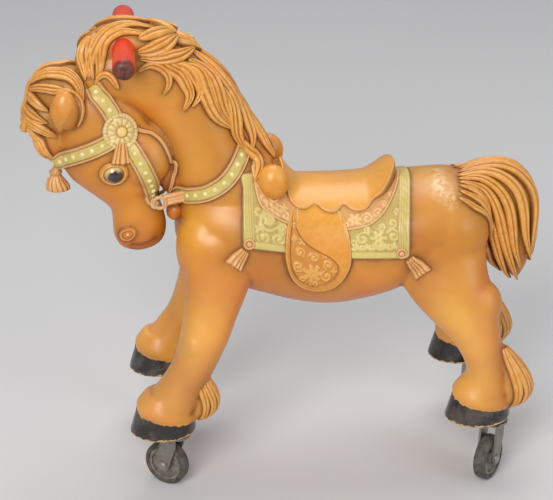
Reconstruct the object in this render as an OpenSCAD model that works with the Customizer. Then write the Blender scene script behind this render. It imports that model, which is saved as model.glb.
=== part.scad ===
// Ride-on pony on four swivel casters: a hollow moulded body with a wooden hand
// bar through the crest of its neck, and a wooden plug in each hoof that holds
// the socket of a ball-race caster. The nose points to -X and the tail to +X.

/* [Body] */
// Length from the forelock to the end of the tail
body_length = 598; // [520:2:720]
// Width over the belly
body_width = 150; // [130:2:180]
// Height from the soles of the hooves to the top of the mane
body_height = 482; // [420:2:560]
// Thickness of the moulded wall
wall = 5; // [4:0.5:7]

/* [Hooves] */
// Length of a hoof at the sole
hoof_length = 77; // [70:1:92]
// Width of a hoof at the sole
hoof_width = 64; // [58:1:76]
// Height of the painted hoof
hoof_height = 28; // [22:1:34]
// Width of the moulded rim around the wooden plug
hoof_rim = 8; // [6:0.5:9]
// Height of the wooden plug
plug_height = 30; // [26:1:36]
// Distance from the middle plane to the middle of a hoof
hoof_spread = 76; // [70:1:90]
// Distance of a front caster's stem behind the middle of its hoof
front_stem_offset = 17; // [0:1:20]
// Distance of a rear caster's stem behind the middle of its hoof
rear_stem_offset = 22; // [0:1:23]

/* [Hand bar] */
// Diameter of the wooden hand bar
bar_diameter = 25; // [19:1:28]
// Length of the wooden hand bar
bar_length = 184; // [160:2:230]
// Rounding of the bar's ends
bar_round = 9; // [4:1:9]
// Length of the bar's thicker middle, which the neck grips
bar_grip = 64; // [62:2:100]

/* [Casters] */
// Diameter of the wheel over the tyre
wheel_diameter = 54; // [45:1:66]
// Width of the tread
wheel_width = 15; // [12:1:20]
// Thickness of the rubber tyre
tyre_depth = 6; // [4:0.5:9]
// Thickness of the wheel's web
web_width = 6; // [4:0.5:10]
// Diameter of the wheel's hub
hub_diameter = 16; // [14:0.5:22]
// Diameter of the axle
axle_diameter = 6; // [5:0.5:7]
// Distance from the swivel axis to the axle
trail = 16; // [12:1:20]
// Diameter of the stem
stem_diameter = 8; // [7:0.5:9]
// Length of the stem inside its socket
stem_grip = 26; // [20:1:28]
// Sheet thickness of the horn
horn_sheet = 2.5; // [2:0.25:3.5]
// Gap between the tyre and the crown of the horn
crown_gap = 14; // [8:1:20]
// Diameter of the bearing balls
ball_diameter = 4; // [3:0.5:5]
// Number of bearing balls
ball_count = 12; // [8:1:14]

/* [Clearances] */
// Radial clearance of a part that turns
running = 0.05; // [0.02:0.01:0.1]
// Radial clearance of a part that is glued or driven in
seated = 0.1; // [0.05:0.05:0.3]

/* [Hidden] */
$fn = 48;
ring_points = 16;
ring_steps = 2;

// Stack of a caster below the sole, from the top down.
flange_thick = 1.5;
race_thick = 2;
groove_depth = 0.6;
ball_gap = ball_diameter - 2 * groove_depth;
race_radius = 11;
race_rim = 15;
crown_top = flange_thick + race_thick + ball_gap;
crown_low = crown_top + horn_sheet;
caster_height = crown_low + crown_gap + wheel_diameter;
axle_drop = caster_height - wheel_diameter / 2;
socket_wall = 1.4;
socket_radius = stem_diameter / 2 + running + socket_wall;
horn_side = 1.4;
horn_inside = wheel_width / 2 + horn_side;
horn_outside = horn_inside + horn_sheet;
axle_head = axle_diameter * 0.95;
axle_head_thick = 2.4;
bush_wall = 1.5;
bush_radius = axle_diameter / 2 + running + bush_wall;
rivet_radius = stem_diameter / 2 + 3;
rivet_thick = 2.2;

// The body's outlines are drawn at its standard size and scaled from there.
standard_length = 598;
standard_width = 150;
standard_height = 482;
sx = body_length / standard_length;
sy = body_width / standard_width;
sz = body_height / standard_height;
// Half way between the forelock and the tail, measured from the drawing's zero.
body_middle = 8;

// Hooves: name, middle of the sole, side, stem offset, and the way the caster
// trails at rest.
fore_hoof_x = -141;
hind_hoof_x = 230;
hooves = [
    ["front_left", fore_hoof_x, -1, front_stem_offset, 148],
    ["front_right", fore_hoof_x, 1, front_stem_offset, 270],
    ["rear_left", hind_hoof_x, -1, rear_stem_offset, 235],
    ["rear_right", hind_hoof_x, 1, rear_stem_offset, 95]
];
caster_parts = ["socket", "stem", "upper_race", "race_balls", "horn", "axle", "wheel_core", "wheel_bush", "tyre"];

// Places: a point of the drawing in the part's own frame.
function place(p) = [(p.x - body_middle) * sx, p.y * sy, caster_height + p.z * sz];
function hoof_middle(h) = [(h[1] - body_middle) * sx, h[2] * hoof_spread, caster_height];
function stem_place(h) = hoof_middle(h) + [h[3], 0, 0];
bar_place = place([-167, 0, 457]);
grip_radius = bar_diameter / 2 + 0.2;

// Lofts: a station is [x, y, z, half width, half depth, angle]. Its ring lies
// across the path, and the angle turns the ring's depth from +X towards +Z.
function between(a, b, c, d, t) =
    0.5 * (2 * b + (c - a) * t + (2 * a - 5 * b + 4 * c - d) * t * t + (3 * b - a - 3 * c + d) * t * t * t);
function smoothed(s, k) = let (n = len(s) - 1)
    concat([for (i = [0:n - 1], j = [0:k - 1])
        between(s[max(i - 1, 0)], s[i], s[i + 1], s[min(i + 2, n)], j / k)], [s[n]]);
function ring(s, inset) = [for (i = [0:ring_points - 1]) let (a = 360 * i / ring_points)
    let (w = max(s[3] - inset / sy, 0.5) * cos(a), d = max(s[4] - inset, 0.5) * sin(a))
        place([s.x + d * cos(s[5]), s.y + w, s.z + d * sin(s[5])])];

module loft(stations, inset = 0, steps = ring_steps) {
    path = smoothed(stations, steps);
    m = len(path);
    n = ring_points;
    points = [for (s = path) each ring(s, inset)];
    sides = [for (i = [0:m - 2], j = [0:n - 1]) let (k = (j + 1) % n)
        each [[i * n + j, (i + 1) * n + k, i * n + k], [i * n + j, (i + 1) * n + j, (i + 1) * n + k]]];
    caps = [[for (j = [0:n - 1]) j], [for (j = [n - 1:-1:0]) (m - 1) * n + j]];
    polyhedron(points, concat(sides, caps), convexity = 6);
}

torso = [
    [-110, 0, 235, 16, 20, 90], [-106, 0, 234, 36, 42, 90], [-94, 0, 231, 54, 60, 90],
    [-74, 0, 228, 66, 70, 90], [-45, 0, 226, 73, 72, 90], [-15, 0, 218, 75, 73, 90],
    [20, 0, 206, 75, 72, 90], [60, 0, 202, 75, 74, 90], [100, 0, 205, 75, 72, 90],
    [135, 0, 212, 74, 69, 90], [170, 0, 223, 72, 61, 90], [204, 0, 234, 64, 50, 90],
    [226, 0, 238, 50, 40, 90], [239, 0, 240, 31, 25, 90], [244, 0, 240, 10, 8, 90]
];
neck = [
    [-15, 0, 215, 60, 76, 200], [-48, 0, 263, 56, 66, 210], [-72, 0, 306, 46, 48, 213],
    [-87, 0, 351, 39, 42, 213], [-108, 0, 389, 35, 42, 225], [-140, 0, 415, 34, 42, 248],
    [-175, 0, 421, 33, 39, 275], [-204, 0, 409, 30, 35, 303]
];
head = [
    [-213, 0, 412, 18, 20, 40], [-209, 0, 397, 34, 38, 30], [-201, 0, 370, 42, 50, 24],
    [-193, 0, 342, 46, 56, 20], [-186, 0, 315, 45, 56, 20], [-178, 0, 288, 39, 48, 22],
    [-169, 0, 262, 31, 37, 22], [-163, 0, 242, 28, 32, 18], [-160, 0, 225, 28, 30, 12],
    [-157, 0, 211, 23, 24, 8], [-155, 0, 204, 10, 11, 8]
];
mane = [
    [-10, 0, 308, 14, 14, 210], [-34, 0, 335, 20, 18, 212], [-50, 0, 368, 23, 18, 215],
    [-68, 0, 399, 25, 19, 222], [-92, 0, 425, 27, 20, 232], [-120, 0, 445, 28, 22, 245],
    [-150, 0, 458, 29, 23, 262], [-180, 0, 457, 28, 24, 290], [-204, 0, 443, 24, 22, 305],
    [-216, 0, 429, 10, 10, 310]
];
tail = [
    [212, 0, 268, 16, 18, 90], [235, 0, 273, 20, 23, 75], [258, 0, 267, 24, 31, 52],
    [271, 0, 245, 26, 36, 28], [273, 0, 218, 26, 35, 8], [273, 0, 191, 23, 32, -5],
    [277, 0, 169, 18, 24, -15], [283, 0, 155, 10, 14, -20], [286, 0, 148, 4, 5, -20]
];
fore_leg = [
    [-66, -34, 262, 8, 22, 0], [-66, -45, 240, 22, 42, 0], [-68, -50, 205, 27, 41, -4], [-72, -54, 180, 29, 37, -12],
    [-80, -60, 150, 29, 32, -18], [-88, -66, 125, 30, 31, -20], [-98, -71, 100, 27, 28, -24],
    [-109, -74, 75, 26, 27, -28], [-122, -76, 53, 29, 31, -20], [-132, -76, 39, 32, 35, -6],
    [-137, -76, 30, 31, 34, 0], [-138, -76, 26, 28, 31, 0]
];
hind_leg = [
    [182, -26, 258, 8, 26, 0], [181, -38, 232, 28, 50, 0], [186, -42, 197, 33, 54, 10], [194, -50, 168, 35, 49, 18],
    [207, -58, 140, 33, 42, 24], [219, -65, 115, 30, 34, 24], [230, -71, 90, 27, 29, 16],
    [237, -74, 66, 26, 27, 2], [236, -76, 51, 29, 30, -3], [232, -76, 39, 32, 35, 0],
    [231, -76, 30, 31, 34, 0], [231, -76, 26, 28, 31, 0]
];
fore_feather = [[-90, -76, 88, 7, 5, 0], [-86, -76, 66, 13, 12, 0], [-86, -76, 40, 15, 13, 0], [-91, -76, 14, 7, 6, 0]];
hind_feather = [[261, -76, 92, 7, 5, 0], [269, -76, 68, 14, 13, 0], [275, -76, 42, 16, 14, 0], [276, -76, 22, 7, 6, 0]];

// Round lumps of the body, each [x, y, z, radius], joined along a chain.
forelock = [[-222, 0, 408, 22], [-247, 0, 402, 31], [-262, 0, 372, 27], [-258, 0, 340, 18], [-245, 0, 322, 12]];
forelock_tip = [[-266, 0, 366, 12], [-287, 0, 361, 4]];
ear = [[-222, 36, 362, 10], [-234, 40, 388, 14], [-240, 40, 406, 9]];
cheek = [[-152, 14, 324, 36], [-160, 10, 300, 30]];
pommel = [[-3, -40, 292, 17], [-3, 40, 292, 17]];
cantle = [[106, 63, 245, 8], [120, 48, 268, 9], [130, 26, 282, 9], [133, 0, 287, 9]];

module chain(lumps) {
    for (i = [0:len(lumps) - 2])
        hull()
            for (b = [lumps[i], lumps[i + 1]])
                translate(place(b)) sphere(b[3], $fn = 12);
}

module both_sides() {
    children();
    mirror([0, 1, 0]) children();
}

module oval(half_x, half_y, height) {
    linear_extrude(height) polygon([for (i = [0:35]) [half_x * cos(10 * i), half_y * sin(10 * i)]]);
}

// The hoof's painted block, wider at the sole than at the coronet.
module hoof(h) {
    translate(hoof_middle(h)) hull() {
        oval(hoof_length / 2, hoof_width / 2, 1);
        translate([3, 0, hoof_height - 1]) oval(hoof_length / 2 - 5, hoof_width / 2 - 3.5, 1);
    }
}

plug_half_length = hoof_length / 2 - hoof_rim;
plug_half_width = hoof_width / 2 - hoof_rim;

// The pocket that the plug fills, open at the sole.
module hoof_pocket(h) {
    translate(hoof_middle(h) - [0, 0, 1])
        oval(plug_half_length + seated, plug_half_width + seated, plug_height + 1);
}

module body_shell() {
    color("#D2934A") difference() {
        union() {
            loft(torso);
            loft(neck);
            loft(head, 0, 1);
            loft(mane, 0, 1);
            loft(tail, 0, 1);
            chain(forelock);
            chain(forelock_tip);
            chain(pommel);
            both_sides() {
                loft(fore_leg, 0, 1);
                loft(hind_leg, 0, 1);
                loft(fore_feather, 0, 1);
                loft(hind_feather, 0, 1);
                chain(ear);
                chain(cheek);
                chain(cantle);
            }
            for (h = hooves) hoof(h);
        }
        loft(torso, wall, 1);
        loft(neck, wall, 1);
        loft(head, wall, 1);
        both_sides() {
            loft(fore_leg, wall, 1);
            loft(hind_leg, wall, 1);
        }
        for (h = hooves) hoof_pocket(h);
        translate(bar_place) rotate([90, 0, 0])
            cylinder(r = grip_radius + seated, h = body_width, center = true);
    }
}

// The turned hand bar, with its round ends drawn as quarter circles.
module hand_bar() {
    radius = bar_diameter / 2;
    half = bar_length / 2;
    arc = [for (a = [0:10:90]) [radius - bar_round + bar_round * cos(a), half - bar_round + bar_round * sin(a)]];
    color("#D8402A") translate(bar_place) rotate([90, 0, 0])
        rotate_extrude() polygon(concat(
            [[0, -half]],
            [for (i = [len(arc) - 1:-1:0]) [arc[i].x, -arc[i].y]],
            [[radius, -bar_grip / 2], [grip_radius, -bar_grip / 2]],
            [[grip_radius, bar_grip / 2], [radius, bar_grip / 2]],
            arc,
            [[0, half]]
        ));
}

module hoof_plug(h) {
    color("#3A332C") difference() {
        translate(hoof_middle(h)) oval(plug_half_length, plug_half_width, plug_height - seated);
        translate(stem_place(h)) translate([0, 0, -1])
            cylinder(r = socket_radius + seated, h = stem_grip + 4);
    }
}

// A caster's pieces are drawn about its swivel axis, with z = 0 at the sole
// and the wheel trailing towards +X.
module at_caster(h) {
    translate(stem_place(h)) rotate([0, 0, h[4]]) children();
}

module at_axle() {
    translate([trail, 0, -axle_drop]) rotate([90, 0, 0]) children();
}

module socket() {
    color("#8C867C") difference() {
        union() {
            cylinder(r = socket_radius, h = stem_grip + 2);
            translate([0, 0, -flange_thick]) cylinder(r = race_rim - 3, h = flange_thick);
        }
        translate([0, 0, -flange_thick - 1]) cylinder(r = stem_diameter / 2 + running, h = stem_grip + flange_thick + 1.5);
    }
}

// The stem, with the groove of its grip ring and the rivet head that carries the horn.
module stem() {
    top = stem_grip;
    low = -crown_low - running - rivet_thick;
    color("#9A948A") difference() {
        union() {
            translate([0, 0, low]) cylinder(d = stem_diameter, h = top - low - 1);
            translate([0, 0, top - 1]) cylinder(d1 = stem_diameter, d2 = stem_diameter - 2, h = 1);
            translate([0, 0, low]) cylinder(r = rivet_radius, h = rivet_thick);
        }
        translate([0, 0, top - 7]) difference() {
            cylinder(d = stem_diameter + 2, h = 2);
            translate([0, 0, -1]) cylinder(d = stem_diameter - 1.6, h = 4);
        }
    }
}

module race_groove(z) {
    translate([0, 0, z]) rotate_extrude()
        translate([race_radius, 0]) circle(d = ball_diameter + 2 * running);
}

ball_centre = -(flange_thick + race_thick + ball_gap / 2);

module upper_race() {
    color("#8C867C") difference() {
        translate([0, 0, -flange_thick - race_thick]) cylinder(r = race_rim, h = race_thick);
        translate([0, 0, -crown_top - 1]) cylinder(r = stem_diameter / 2 + seated, h = crown_top + 2);
        race_groove(ball_centre);
    }
}

module race_balls() {
    color("#B5B0A6") for (i = [0:ball_count - 1])
        rotate([0, 0, i * 360 / ball_count]) translate([race_radius, 0, ball_centre]) sphere(d = ball_diameter);
}

// The horn: a round crown, a bridge over the wheel and two legs to the axle.
module horn() {
    eye = axle_diameter / 2 + 5;
    color("#857C70") difference() {
        union() {
            translate([0, 0, -crown_low]) cylinder(r = race_rim, h = horn_sheet);
            translate([0, -horn_outside, -crown_low]) cube([trail, 2 * horn_outside, horn_sheet]);
            for (side = [-1, 1])
                translate([0, side * (horn_inside + horn_sheet / 2), 0]) rotate([90, 0, 0])
                    linear_extrude(horn_sheet, center = true) union() {
                        translate([trail, -axle_drop]) circle(r = eye);
                        polygon([
                            [-2, -crown_top], [trail, -crown_top], [trail + eye * 0.98, -axle_drop + eye * 0.2],
                            [trail - eye * 0.9, -axle_drop - eye * 0.44], [-2, -crown_low - crown_gap]
                        ]);
                    }
        }
        translate([0, 0, -crown_low - 1]) cylinder(r = stem_diameter / 2 + running, h = horn_sheet + 2);
        race_groove(ball_centre);
        at_axle() cylinder(r = axle_diameter / 2 + running, h = 3 * horn_outside, center = true);
    }
}

module axle() {
    color("#9A948A") at_axle() {
        cylinder(d = axle_diameter, h = 2 * horn_outside, center = true);
        for (side = [-1, 1])
            translate([0, 0, side * (horn_outside + running)]) mirror([0, 0, side < 0 ? 1 : 0]) {
                translate([0, 0, -running]) cylinder(d = axle_diameter, h = running);
                cylinder(r = axle_head, h = axle_head_thick * 0.5);
                translate([0, 0, axle_head_thick * 0.5])
                    cylinder(r1 = axle_head, r2 = axle_head * 0.6, h = axle_head_thick * 0.5);
            }
    }
}

module wheel_core() {
    rim = wheel_diameter / 2 - tyre_depth;
    color("#5B5751") at_axle() difference() {
        union() {
            difference() {
                cylinder(r = rim, h = wheel_width - 3, center = true);
                cylinder(r = rim - 3, h = wheel_width, center = true);
            }
            cylinder(r = rim - 1, h = web_width, center = true);
            cylinder(d = hub_diameter, h = wheel_width, center = true);
        }
        cylinder(r = bush_radius + running, h = wheel_width + 2, center = true);
    }
}

module wheel_bush() {
    color("#9A948A") at_axle() difference() {
        cylinder(r = bush_radius, h = 2 * horn_inside - 0.8, center = true);
        cylinder(r = axle_diameter / 2 + running, h = 2 * horn_inside, center = true);
    }
}

module tyre() {
    outer = wheel_diameter / 2;
    half = wheel_width / 2;
    color("#2B2926") at_axle() rotate_extrude(convexity = 4) polygon([
        [outer - tyre_depth, -half + 1], [outer - tyre_depth + 1, -half], [outer - 3, -half], [outer - 1, -half + 1],
        [outer, -half + 3], [outer, half - 3],
        [outer - 1, half - 1], [outer - 3, half], [outer - tyre_depth + 1, half], [outer - tyre_depth, half - 1]
    ]);
}

module caster_part(kind) {
    if (kind == "socket") socket();
    if (kind == "stem") stem();
    if (kind == "upper_race") upper_race();
    if (kind == "race_balls") race_balls();
    if (kind == "horn") horn();
    if (kind == "axle") axle();
    if (kind == "wheel_core") wheel_core();
    if (kind == "wheel_bush") wheel_bush();
    if (kind == "tyre") tyre();
}

body_shell();
hand_bar();
for (h = hooves)
    hoof_plug(h);
for (h = hooves, kind = caster_parts)
    at_caster(h) caster_part(kind);
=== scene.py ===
import math

import bmesh
import bpy
import numpy as np
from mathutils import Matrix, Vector
from mathutils.bvhtree import BVHTree
from mathutils.kdtree import KDTree


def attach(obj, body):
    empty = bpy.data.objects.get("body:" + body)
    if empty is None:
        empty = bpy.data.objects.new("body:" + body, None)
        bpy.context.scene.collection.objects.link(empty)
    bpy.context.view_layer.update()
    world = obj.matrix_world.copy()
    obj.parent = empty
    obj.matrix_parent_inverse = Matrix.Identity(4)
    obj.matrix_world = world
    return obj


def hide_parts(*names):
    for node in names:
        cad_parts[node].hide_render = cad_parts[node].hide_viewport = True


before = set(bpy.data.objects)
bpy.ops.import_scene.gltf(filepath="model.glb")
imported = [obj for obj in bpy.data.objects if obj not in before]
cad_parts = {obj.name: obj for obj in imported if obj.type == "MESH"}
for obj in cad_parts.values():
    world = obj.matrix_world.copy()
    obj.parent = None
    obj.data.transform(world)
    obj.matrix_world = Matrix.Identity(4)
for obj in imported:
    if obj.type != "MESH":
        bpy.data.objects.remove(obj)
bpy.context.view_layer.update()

# ---------------------------------------------------------------------------
# Plastic finish. The pony is a rotation-moulded shell in tan plastic. The factory sprayed brown glaze and
# wiped it off, so it stays in the grooves, and painted the tack by hand. Vertex data carries the paint and
# the glaze amount; on the bare skin, the knobs, ears and eyes they also hold painted shade and painted
# highlight.


def new_group(name, inputs, outputs):
    tree = bpy.data.node_groups.new(name, "ShaderNodeTree")
    for label, kind, value in inputs:
        item = tree.interface.new_socket(label, in_out="INPUT", socket_type=kind)
        item.default_value = value
    for label, kind in outputs:
        tree.interface.new_socket(label, in_out="OUTPUT", socket_type=kind)
    return tree, tree.nodes.new("NodeGroupInput"), tree.nodes.new("NodeGroupOutput")


def add(tree, kind, links=(), **settings):
    node = tree.nodes.new(kind)
    for key, value in settings.items():
        if key.startswith("in_"):
            name = key[3:]
            node.inputs[int(name) if name.isdigit() else name.replace("_", " ")].default_value = value
        else:
            setattr(node, key, value)
    for source, target in links:
        tree.links.new(source, node.inputs[target])
    return node


def math_node(tree, operation, a, b=None, clamp=False):
    node = tree.nodes.new("ShaderNodeMath")
    node.operation = operation
    node.use_clamp = clamp
    for i, v in enumerate((a, b)):
        if v is None:
            continue
        if isinstance(v, (int, float)):
            node.inputs[i].default_value = v
        else:
            tree.links.new(v, node.inputs[i])
    return node.outputs[0]


def mix_colour(tree, factor, a, b, blend="MIX"):
    node = tree.nodes.new("ShaderNodeMix")
    node.data_type = "RGBA"
    node.blend_type = blend
    for i, v in ((0, factor), (6, a), (7, b)):
        if isinstance(v, (int, float)):
            node.inputs[i].default_value = v
        elif isinstance(v, tuple):
            node.inputs[i].default_value = v
        else:
            tree.links.new(v, node.inputs[i])
    return node.outputs[2]


def steps(tree, value, low, high):
    node = tree.nodes.new("ShaderNodeMapRange")
    node.interpolation_type = "SMOOTHSTEP"
    tree.links.new(value, node.inputs["Value"])
    node.inputs["From Min"].default_value = low
    node.inputs["From Max"].default_value = high
    return node.outputs["Result"]


# The glaze amount on the body, knobs and ears also holds painted shade, so this mix paints that shade as
# well.
glaze, glaze_in, glaze_out = new_group(
    "wiped brown glaze",
    [("Colour", "NodeSocketColor", (0.7, 0.35, 0.12, 1)), ("Groove", "NodeSocketFloat", 0.0),
     ("Glaze", "NodeSocketColor", (0.19, 0.055, 0.009, 1)), ("Strength", "NodeSocketFloat", 0.9),
     ("Roughness", "NodeSocketFloat", 0.3)],
    [("Colour", "NodeSocketColor"), ("Roughness", "NodeSocketFloat")])
place = add(glaze, "ShaderNodeTexCoord")
streak = add(glaze, "ShaderNodeTexNoise", [(place.outputs["Object"], "Vector")], in_Scale=85.0,
    in_Detail=4.0, in_Roughness=0.6)
uneven = math_node(glaze, "MULTIPLY_ADD", streak.outputs["Fac"], 0.9)
uneven.node.inputs[2].default_value = 0.55
amount = math_node(glaze, "MULTIPLY", glaze_in.outputs["Groove"], uneven, clamp=True)
amount = math_node(glaze, "MULTIPLY", amount, glaze_in.outputs["Strength"], clamp=True)
glaze.links.new(mix_colour(glaze, amount, glaze_in.outputs["Colour"], glaze_in.outputs["Glaze"]),
    glaze_out.inputs["Colour"])
rougher = math_node(glaze, "MULTIPLY_ADD", amount, 0.25)
glaze.links.new(glaze_in.outputs["Roughness"], rougher.node.inputs[2])
glaze.links.new(rougher, glaze_out.inputs["Roughness"])

wear, wear_in, wear_out = new_group(
    "handling wear",
    [("Colour", "NodeSocketColor", (0.7, 0.35, 0.12, 1)), ("Roughness", "NodeSocketFloat", 0.3),
     ("Rubbed", "NodeSocketFloat", 0.0), ("Pale", "NodeSocketColor", (0.86, 0.58, 0.33, 1)),
     ("Mottle", "NodeSocketFloat", 0.3), ("Scratches", "NodeSocketFloat", 0.3)],
    [("Colour", "NodeSocketColor"), ("Roughness", "NodeSocketFloat"), ("Height", "NodeSocketFloat")])
place = add(wear, "ShaderNodeTexCoord")
broad = add(wear, "ShaderNodeTexNoise", [(place.outputs["Object"], "Vector")], in_Scale=9.0, in_Detail=3.0)
fine = add(wear, "ShaderNodeTexNoise", [(place.outputs["Object"], "Vector")], in_Scale=140.0,
    in_Detail=5.0, in_Roughness=0.65)
bent = add(wear, "ShaderNodeMapping", [(place.outputs["Object"], "Vector")], in_Scale=(30.0, 260.0, 190.0),
    in_Rotation=(0.3, 0.5, 0.2))
lines = add(wear, "ShaderNodeTexNoise", [(bent.outputs["Vector"], "Vector")], in_Scale=1.6, in_Detail=2.0)
drift = add(wear, "ShaderNodeTexNoise", [(place.outputs["Object"], "Vector")], in_Scale=17.0,
    in_Detail=3.0, in_Roughness=0.55)
tint = math_node(wear, "MULTIPLY", math_node(wear, "SUBTRACT", broad.outputs["Fac"], 0.5),
    wear_in.outputs["Mottle"])
turned = math_node(wear, "MULTIPLY", math_node(wear, "SUBTRACT", drift.outputs["Fac"], 0.5),
    math_node(wear, "MULTIPLY", wear_in.outputs["Mottle"], 0.045))
shade = add(wear, "ShaderNodeHueSaturation", [(wear_in.outputs["Colour"], "Color")])
wear.links.new(math_node(wear, "ADD", tint, 1.0), shade.inputs["Value"])
wear.links.new(math_node(wear, "ADD", turned, 0.5), shade.inputs["Hue"])
rub = math_node(wear, "MULTIPLY", wear_in.outputs["Rubbed"], steps(wear, fine.outputs["Fac"], 0.36, 0.62),
    clamp=True)
worn = mix_colour(wear, rub, shade.outputs["Color"], wear_in.outputs["Pale"])
nick = math_node(wear, "MULTIPLY", steps(wear, lines.outputs["Fac"], 0.70, 0.74),
    wear_in.outputs["Scratches"], clamp=True)
wear.links.new(mix_colour(wear, nick, worn, wear_in.outputs["Pale"]), wear_out.inputs["Colour"])
grain = math_node(wear, "MULTIPLY", math_node(wear, "SUBTRACT", fine.outputs["Fac"], 0.5), 0.16)
rough = math_node(wear, "ADD", wear_in.outputs["Roughness"], grain)
rough = math_node(wear, "ADD", rough, math_node(wear, "MULTIPLY", rub, 0.12))
rough = math_node(wear, "ADD", rough, math_node(wear, "MULTIPLY", nick, 0.25))
wear.links.new(rough, wear_out.inputs["Roughness"])
height = math_node(wear, "ADD", math_node(wear, "MULTIPLY", fine.outputs["Fac"], 0.25),
    math_node(wear, "MULTIPLY", broad.outputs["Fac"], 0.5))
wear.links.new(math_node(wear, "SUBTRACT", height, nick), wear_out.inputs["Height"])


def use(tree, group, **values):
    node = tree.nodes.new("ShaderNodeGroup")
    node.node_tree = group
    for key, value in values.items():
        label = key.replace("_", " ")
        if isinstance(value, (int, float, tuple)):
            node.inputs[label].default_value = value
        else:
            tree.links.new(value, node.inputs[label])
    return node


def new_material(name, coat=0.0, metallic=0.0, bump=0.1):
    mat = bpy.data.materials.new(name)
    mat.use_nodes = True
    tree = mat.node_tree
    shader = tree.nodes["Principled BSDF"]
    shader.inputs["Coat Weight"].default_value = coat
    shader.inputs["Coat Roughness"].default_value = 0.20
    shader.inputs["Metallic"].default_value = metallic
    relief = tree.nodes.new("ShaderNodeBump")
    relief.inputs["Strength"].default_value = bump
    relief.inputs["Distance"].default_value = 0.0006
    tree.links.new(relief.outputs["Normal"], shader.inputs["Normal"])
    return mat, tree, shader, relief


def attribute(tree, name):
    return add(tree, "ShaderNodeAttribute", attribute_name=name)


TAN = (0.56, 0.225, 0.018)
GOLD = (0.64, 0.275, 0.040)
ORANGE = (0.58, 0.150, 0.008)
SEAT = (0.72, 0.35, 0.085)
GREEN = (0.55, 0.43, 0.105)
PINK = (0.70, 0.36, 0.125)
CREAM = (0.74, 0.56, 0.25)


def plastic(name, roughness, coat, rubbed, glaze_strength, pale):
    mat, tree, shader, relief = new_material(name, coat=coat, bump=0.12)
    paint, groove = attribute(tree, "paint"), attribute(tree, "groove")
    top = attribute(tree, "rubbed")
    soft = use(tree, glaze, Colour=paint.outputs["Color"], Groove=groove.outputs["Fac"],
        Strength=glaze_strength, Roughness=roughness)
    rubs = math_node(tree, "MULTIPLY", top.outputs["Fac"], rubbed)
    old = use(tree, wear, Colour=soft.outputs["Colour"], Roughness=soft.outputs["Roughness"], Rubbed=rubs,
        Pale=pale, Mottle=0.5, Scratches=0.16)
    tree.links.new(old.outputs["Colour"], shader.inputs["Base Color"])
    tree.links.new(old.outputs["Roughness"], shader.inputs["Roughness"])
    tree.links.new(old.outputs["Height"], relief.inputs["Height"])
    return mat, tree, shader, old


tan_plastic, _, _, _ = plastic("tan moulded plastic", 0.36, 0.20, 0.75, 0.92, (0.80, 0.46, 0.16, 1))
painted_relief, _, _, _ = plastic("hand painted relief", 0.42, 0.15, 0.55, 0.95, (0.84, 0.70, 0.44, 1))

# ---------------------------------------------------------------------------
# Moulded body. The real shell comes out of one mould: barrel, neck, head,
# legs and hooves run into each other with soft fillets. Sections along each
# limb are skinned, joined and remeshed into a single closed skin.


# The body is drawn in millimetres from its own zero, on the soles of the hooves.
# The casters lift the soles, and the zero lies a little ahead of the frame's.
ahead_of_frame, sole_height = 8, 76.8
fore_hoof, hind_hoof, hoof_out = -141, 230, 76


def at(x, y, z):
    return np.array([(x - ahead_of_frame) * 0.001, y * 0.001, (z + sole_height) * 0.001])


def between(a, b, c, d, t):
    return (0.5 * (2 * b + (c - a) * t + (2 * a - 5 * b + 4 * c - d) * t * t + (3 * b - a - 3 * c + d)
        * t ** 3))


def spline(points, per_span):
    p = np.array(points, float)
    n = len(p) - 1
    out = []
    for i in range(n):
        a, b, c, d = p[max(i - 1, 0)], p[i], p[i + 1], p[min(i + 2, n)]
        out += [between(a, b, c, d, k / per_span) for k in range(per_span)]
    out.append(p[n])
    return np.array(out)


def loft(stations, around=56, per_span=5):
    path = spline(stations, per_span)
    angles = np.linspace(0, 2 * math.pi, around, endpoint=False)
    rings = []
    for x, y, z, width, depth, tilt in path:
        turn = math.radians(tilt)
        w, d = max(width, 0.5) * np.cos(angles), max(depth, 0.5) * np.sin(angles)
        rings.append(np.stack([(x - ahead_of_frame + d * math.cos(turn)) * 0.001, (y + w) * 0.001,
            (z + sole_height + d * math.sin(turn)) * 0.001], 1))
    verts = np.concatenate(rings)
    m, faces = len(path), []
    for i in range(m - 1):
        for j in range(around):
            k = (j + 1) % around
            faces.append((i * around + j, i * around + k, (i + 1) * around + k, (i + 1) * around + j))
    faces.append(tuple(range(around - 1, -1, -1)))
    faces.append(tuple((m - 1) * around + j for j in range(around)))
    return verts, faces


def mirrored(stations):
    return [(x, -y, z, w, d, a) for x, y, z, w, d, a in stations]


def ball(centre, radii, segments=28, rings=18):
    verts, faces = [(0, 0, 1)], []
    for i in range(1, rings):
        for j in range(segments):
            a, b = math.pi * i / rings, 2 * math.pi * j / segments
            verts.append((math.sin(a) * math.cos(b), math.sin(a) * math.sin(b), math.cos(a)))
    verts.append((0, 0, -1))
    last = len(verts) - 1
    for j in range(segments):
        k = (j + 1) % segments
        faces.append((0, 1 + j, 1 + k))
        for i in range(rings - 2):
            a = 1 + i * segments
            faces.append((a + j, a + segments + j, a + segments + k, a + k))
        faces.append((last, last - segments + k, last - segments + j))
    return np.array(verts) * np.array(radii) * 0.001 + at(*centre), faces


def join(parts):
    verts, faces, start = [], [], 0
    for v, f in parts:
        verts.append(np.asarray(v))
        faces += [tuple(i + start for i in face) for face in f]
        start += len(v)
    return np.concatenate(verts), faces


def make(name, verts, faces, material, smooth=True):
    mesh = bpy.data.meshes.new(name)
    mesh.from_pydata(np.asarray(verts).tolist(), [], faces)
    mesh.polygons.foreach_set("use_smooth", [smooth] * len(mesh.polygons))
    mesh.materials.append(material)
    obj = bpy.data.objects.new(name, mesh)
    bpy.context.scene.collection.objects.link(obj)
    return obj


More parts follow.
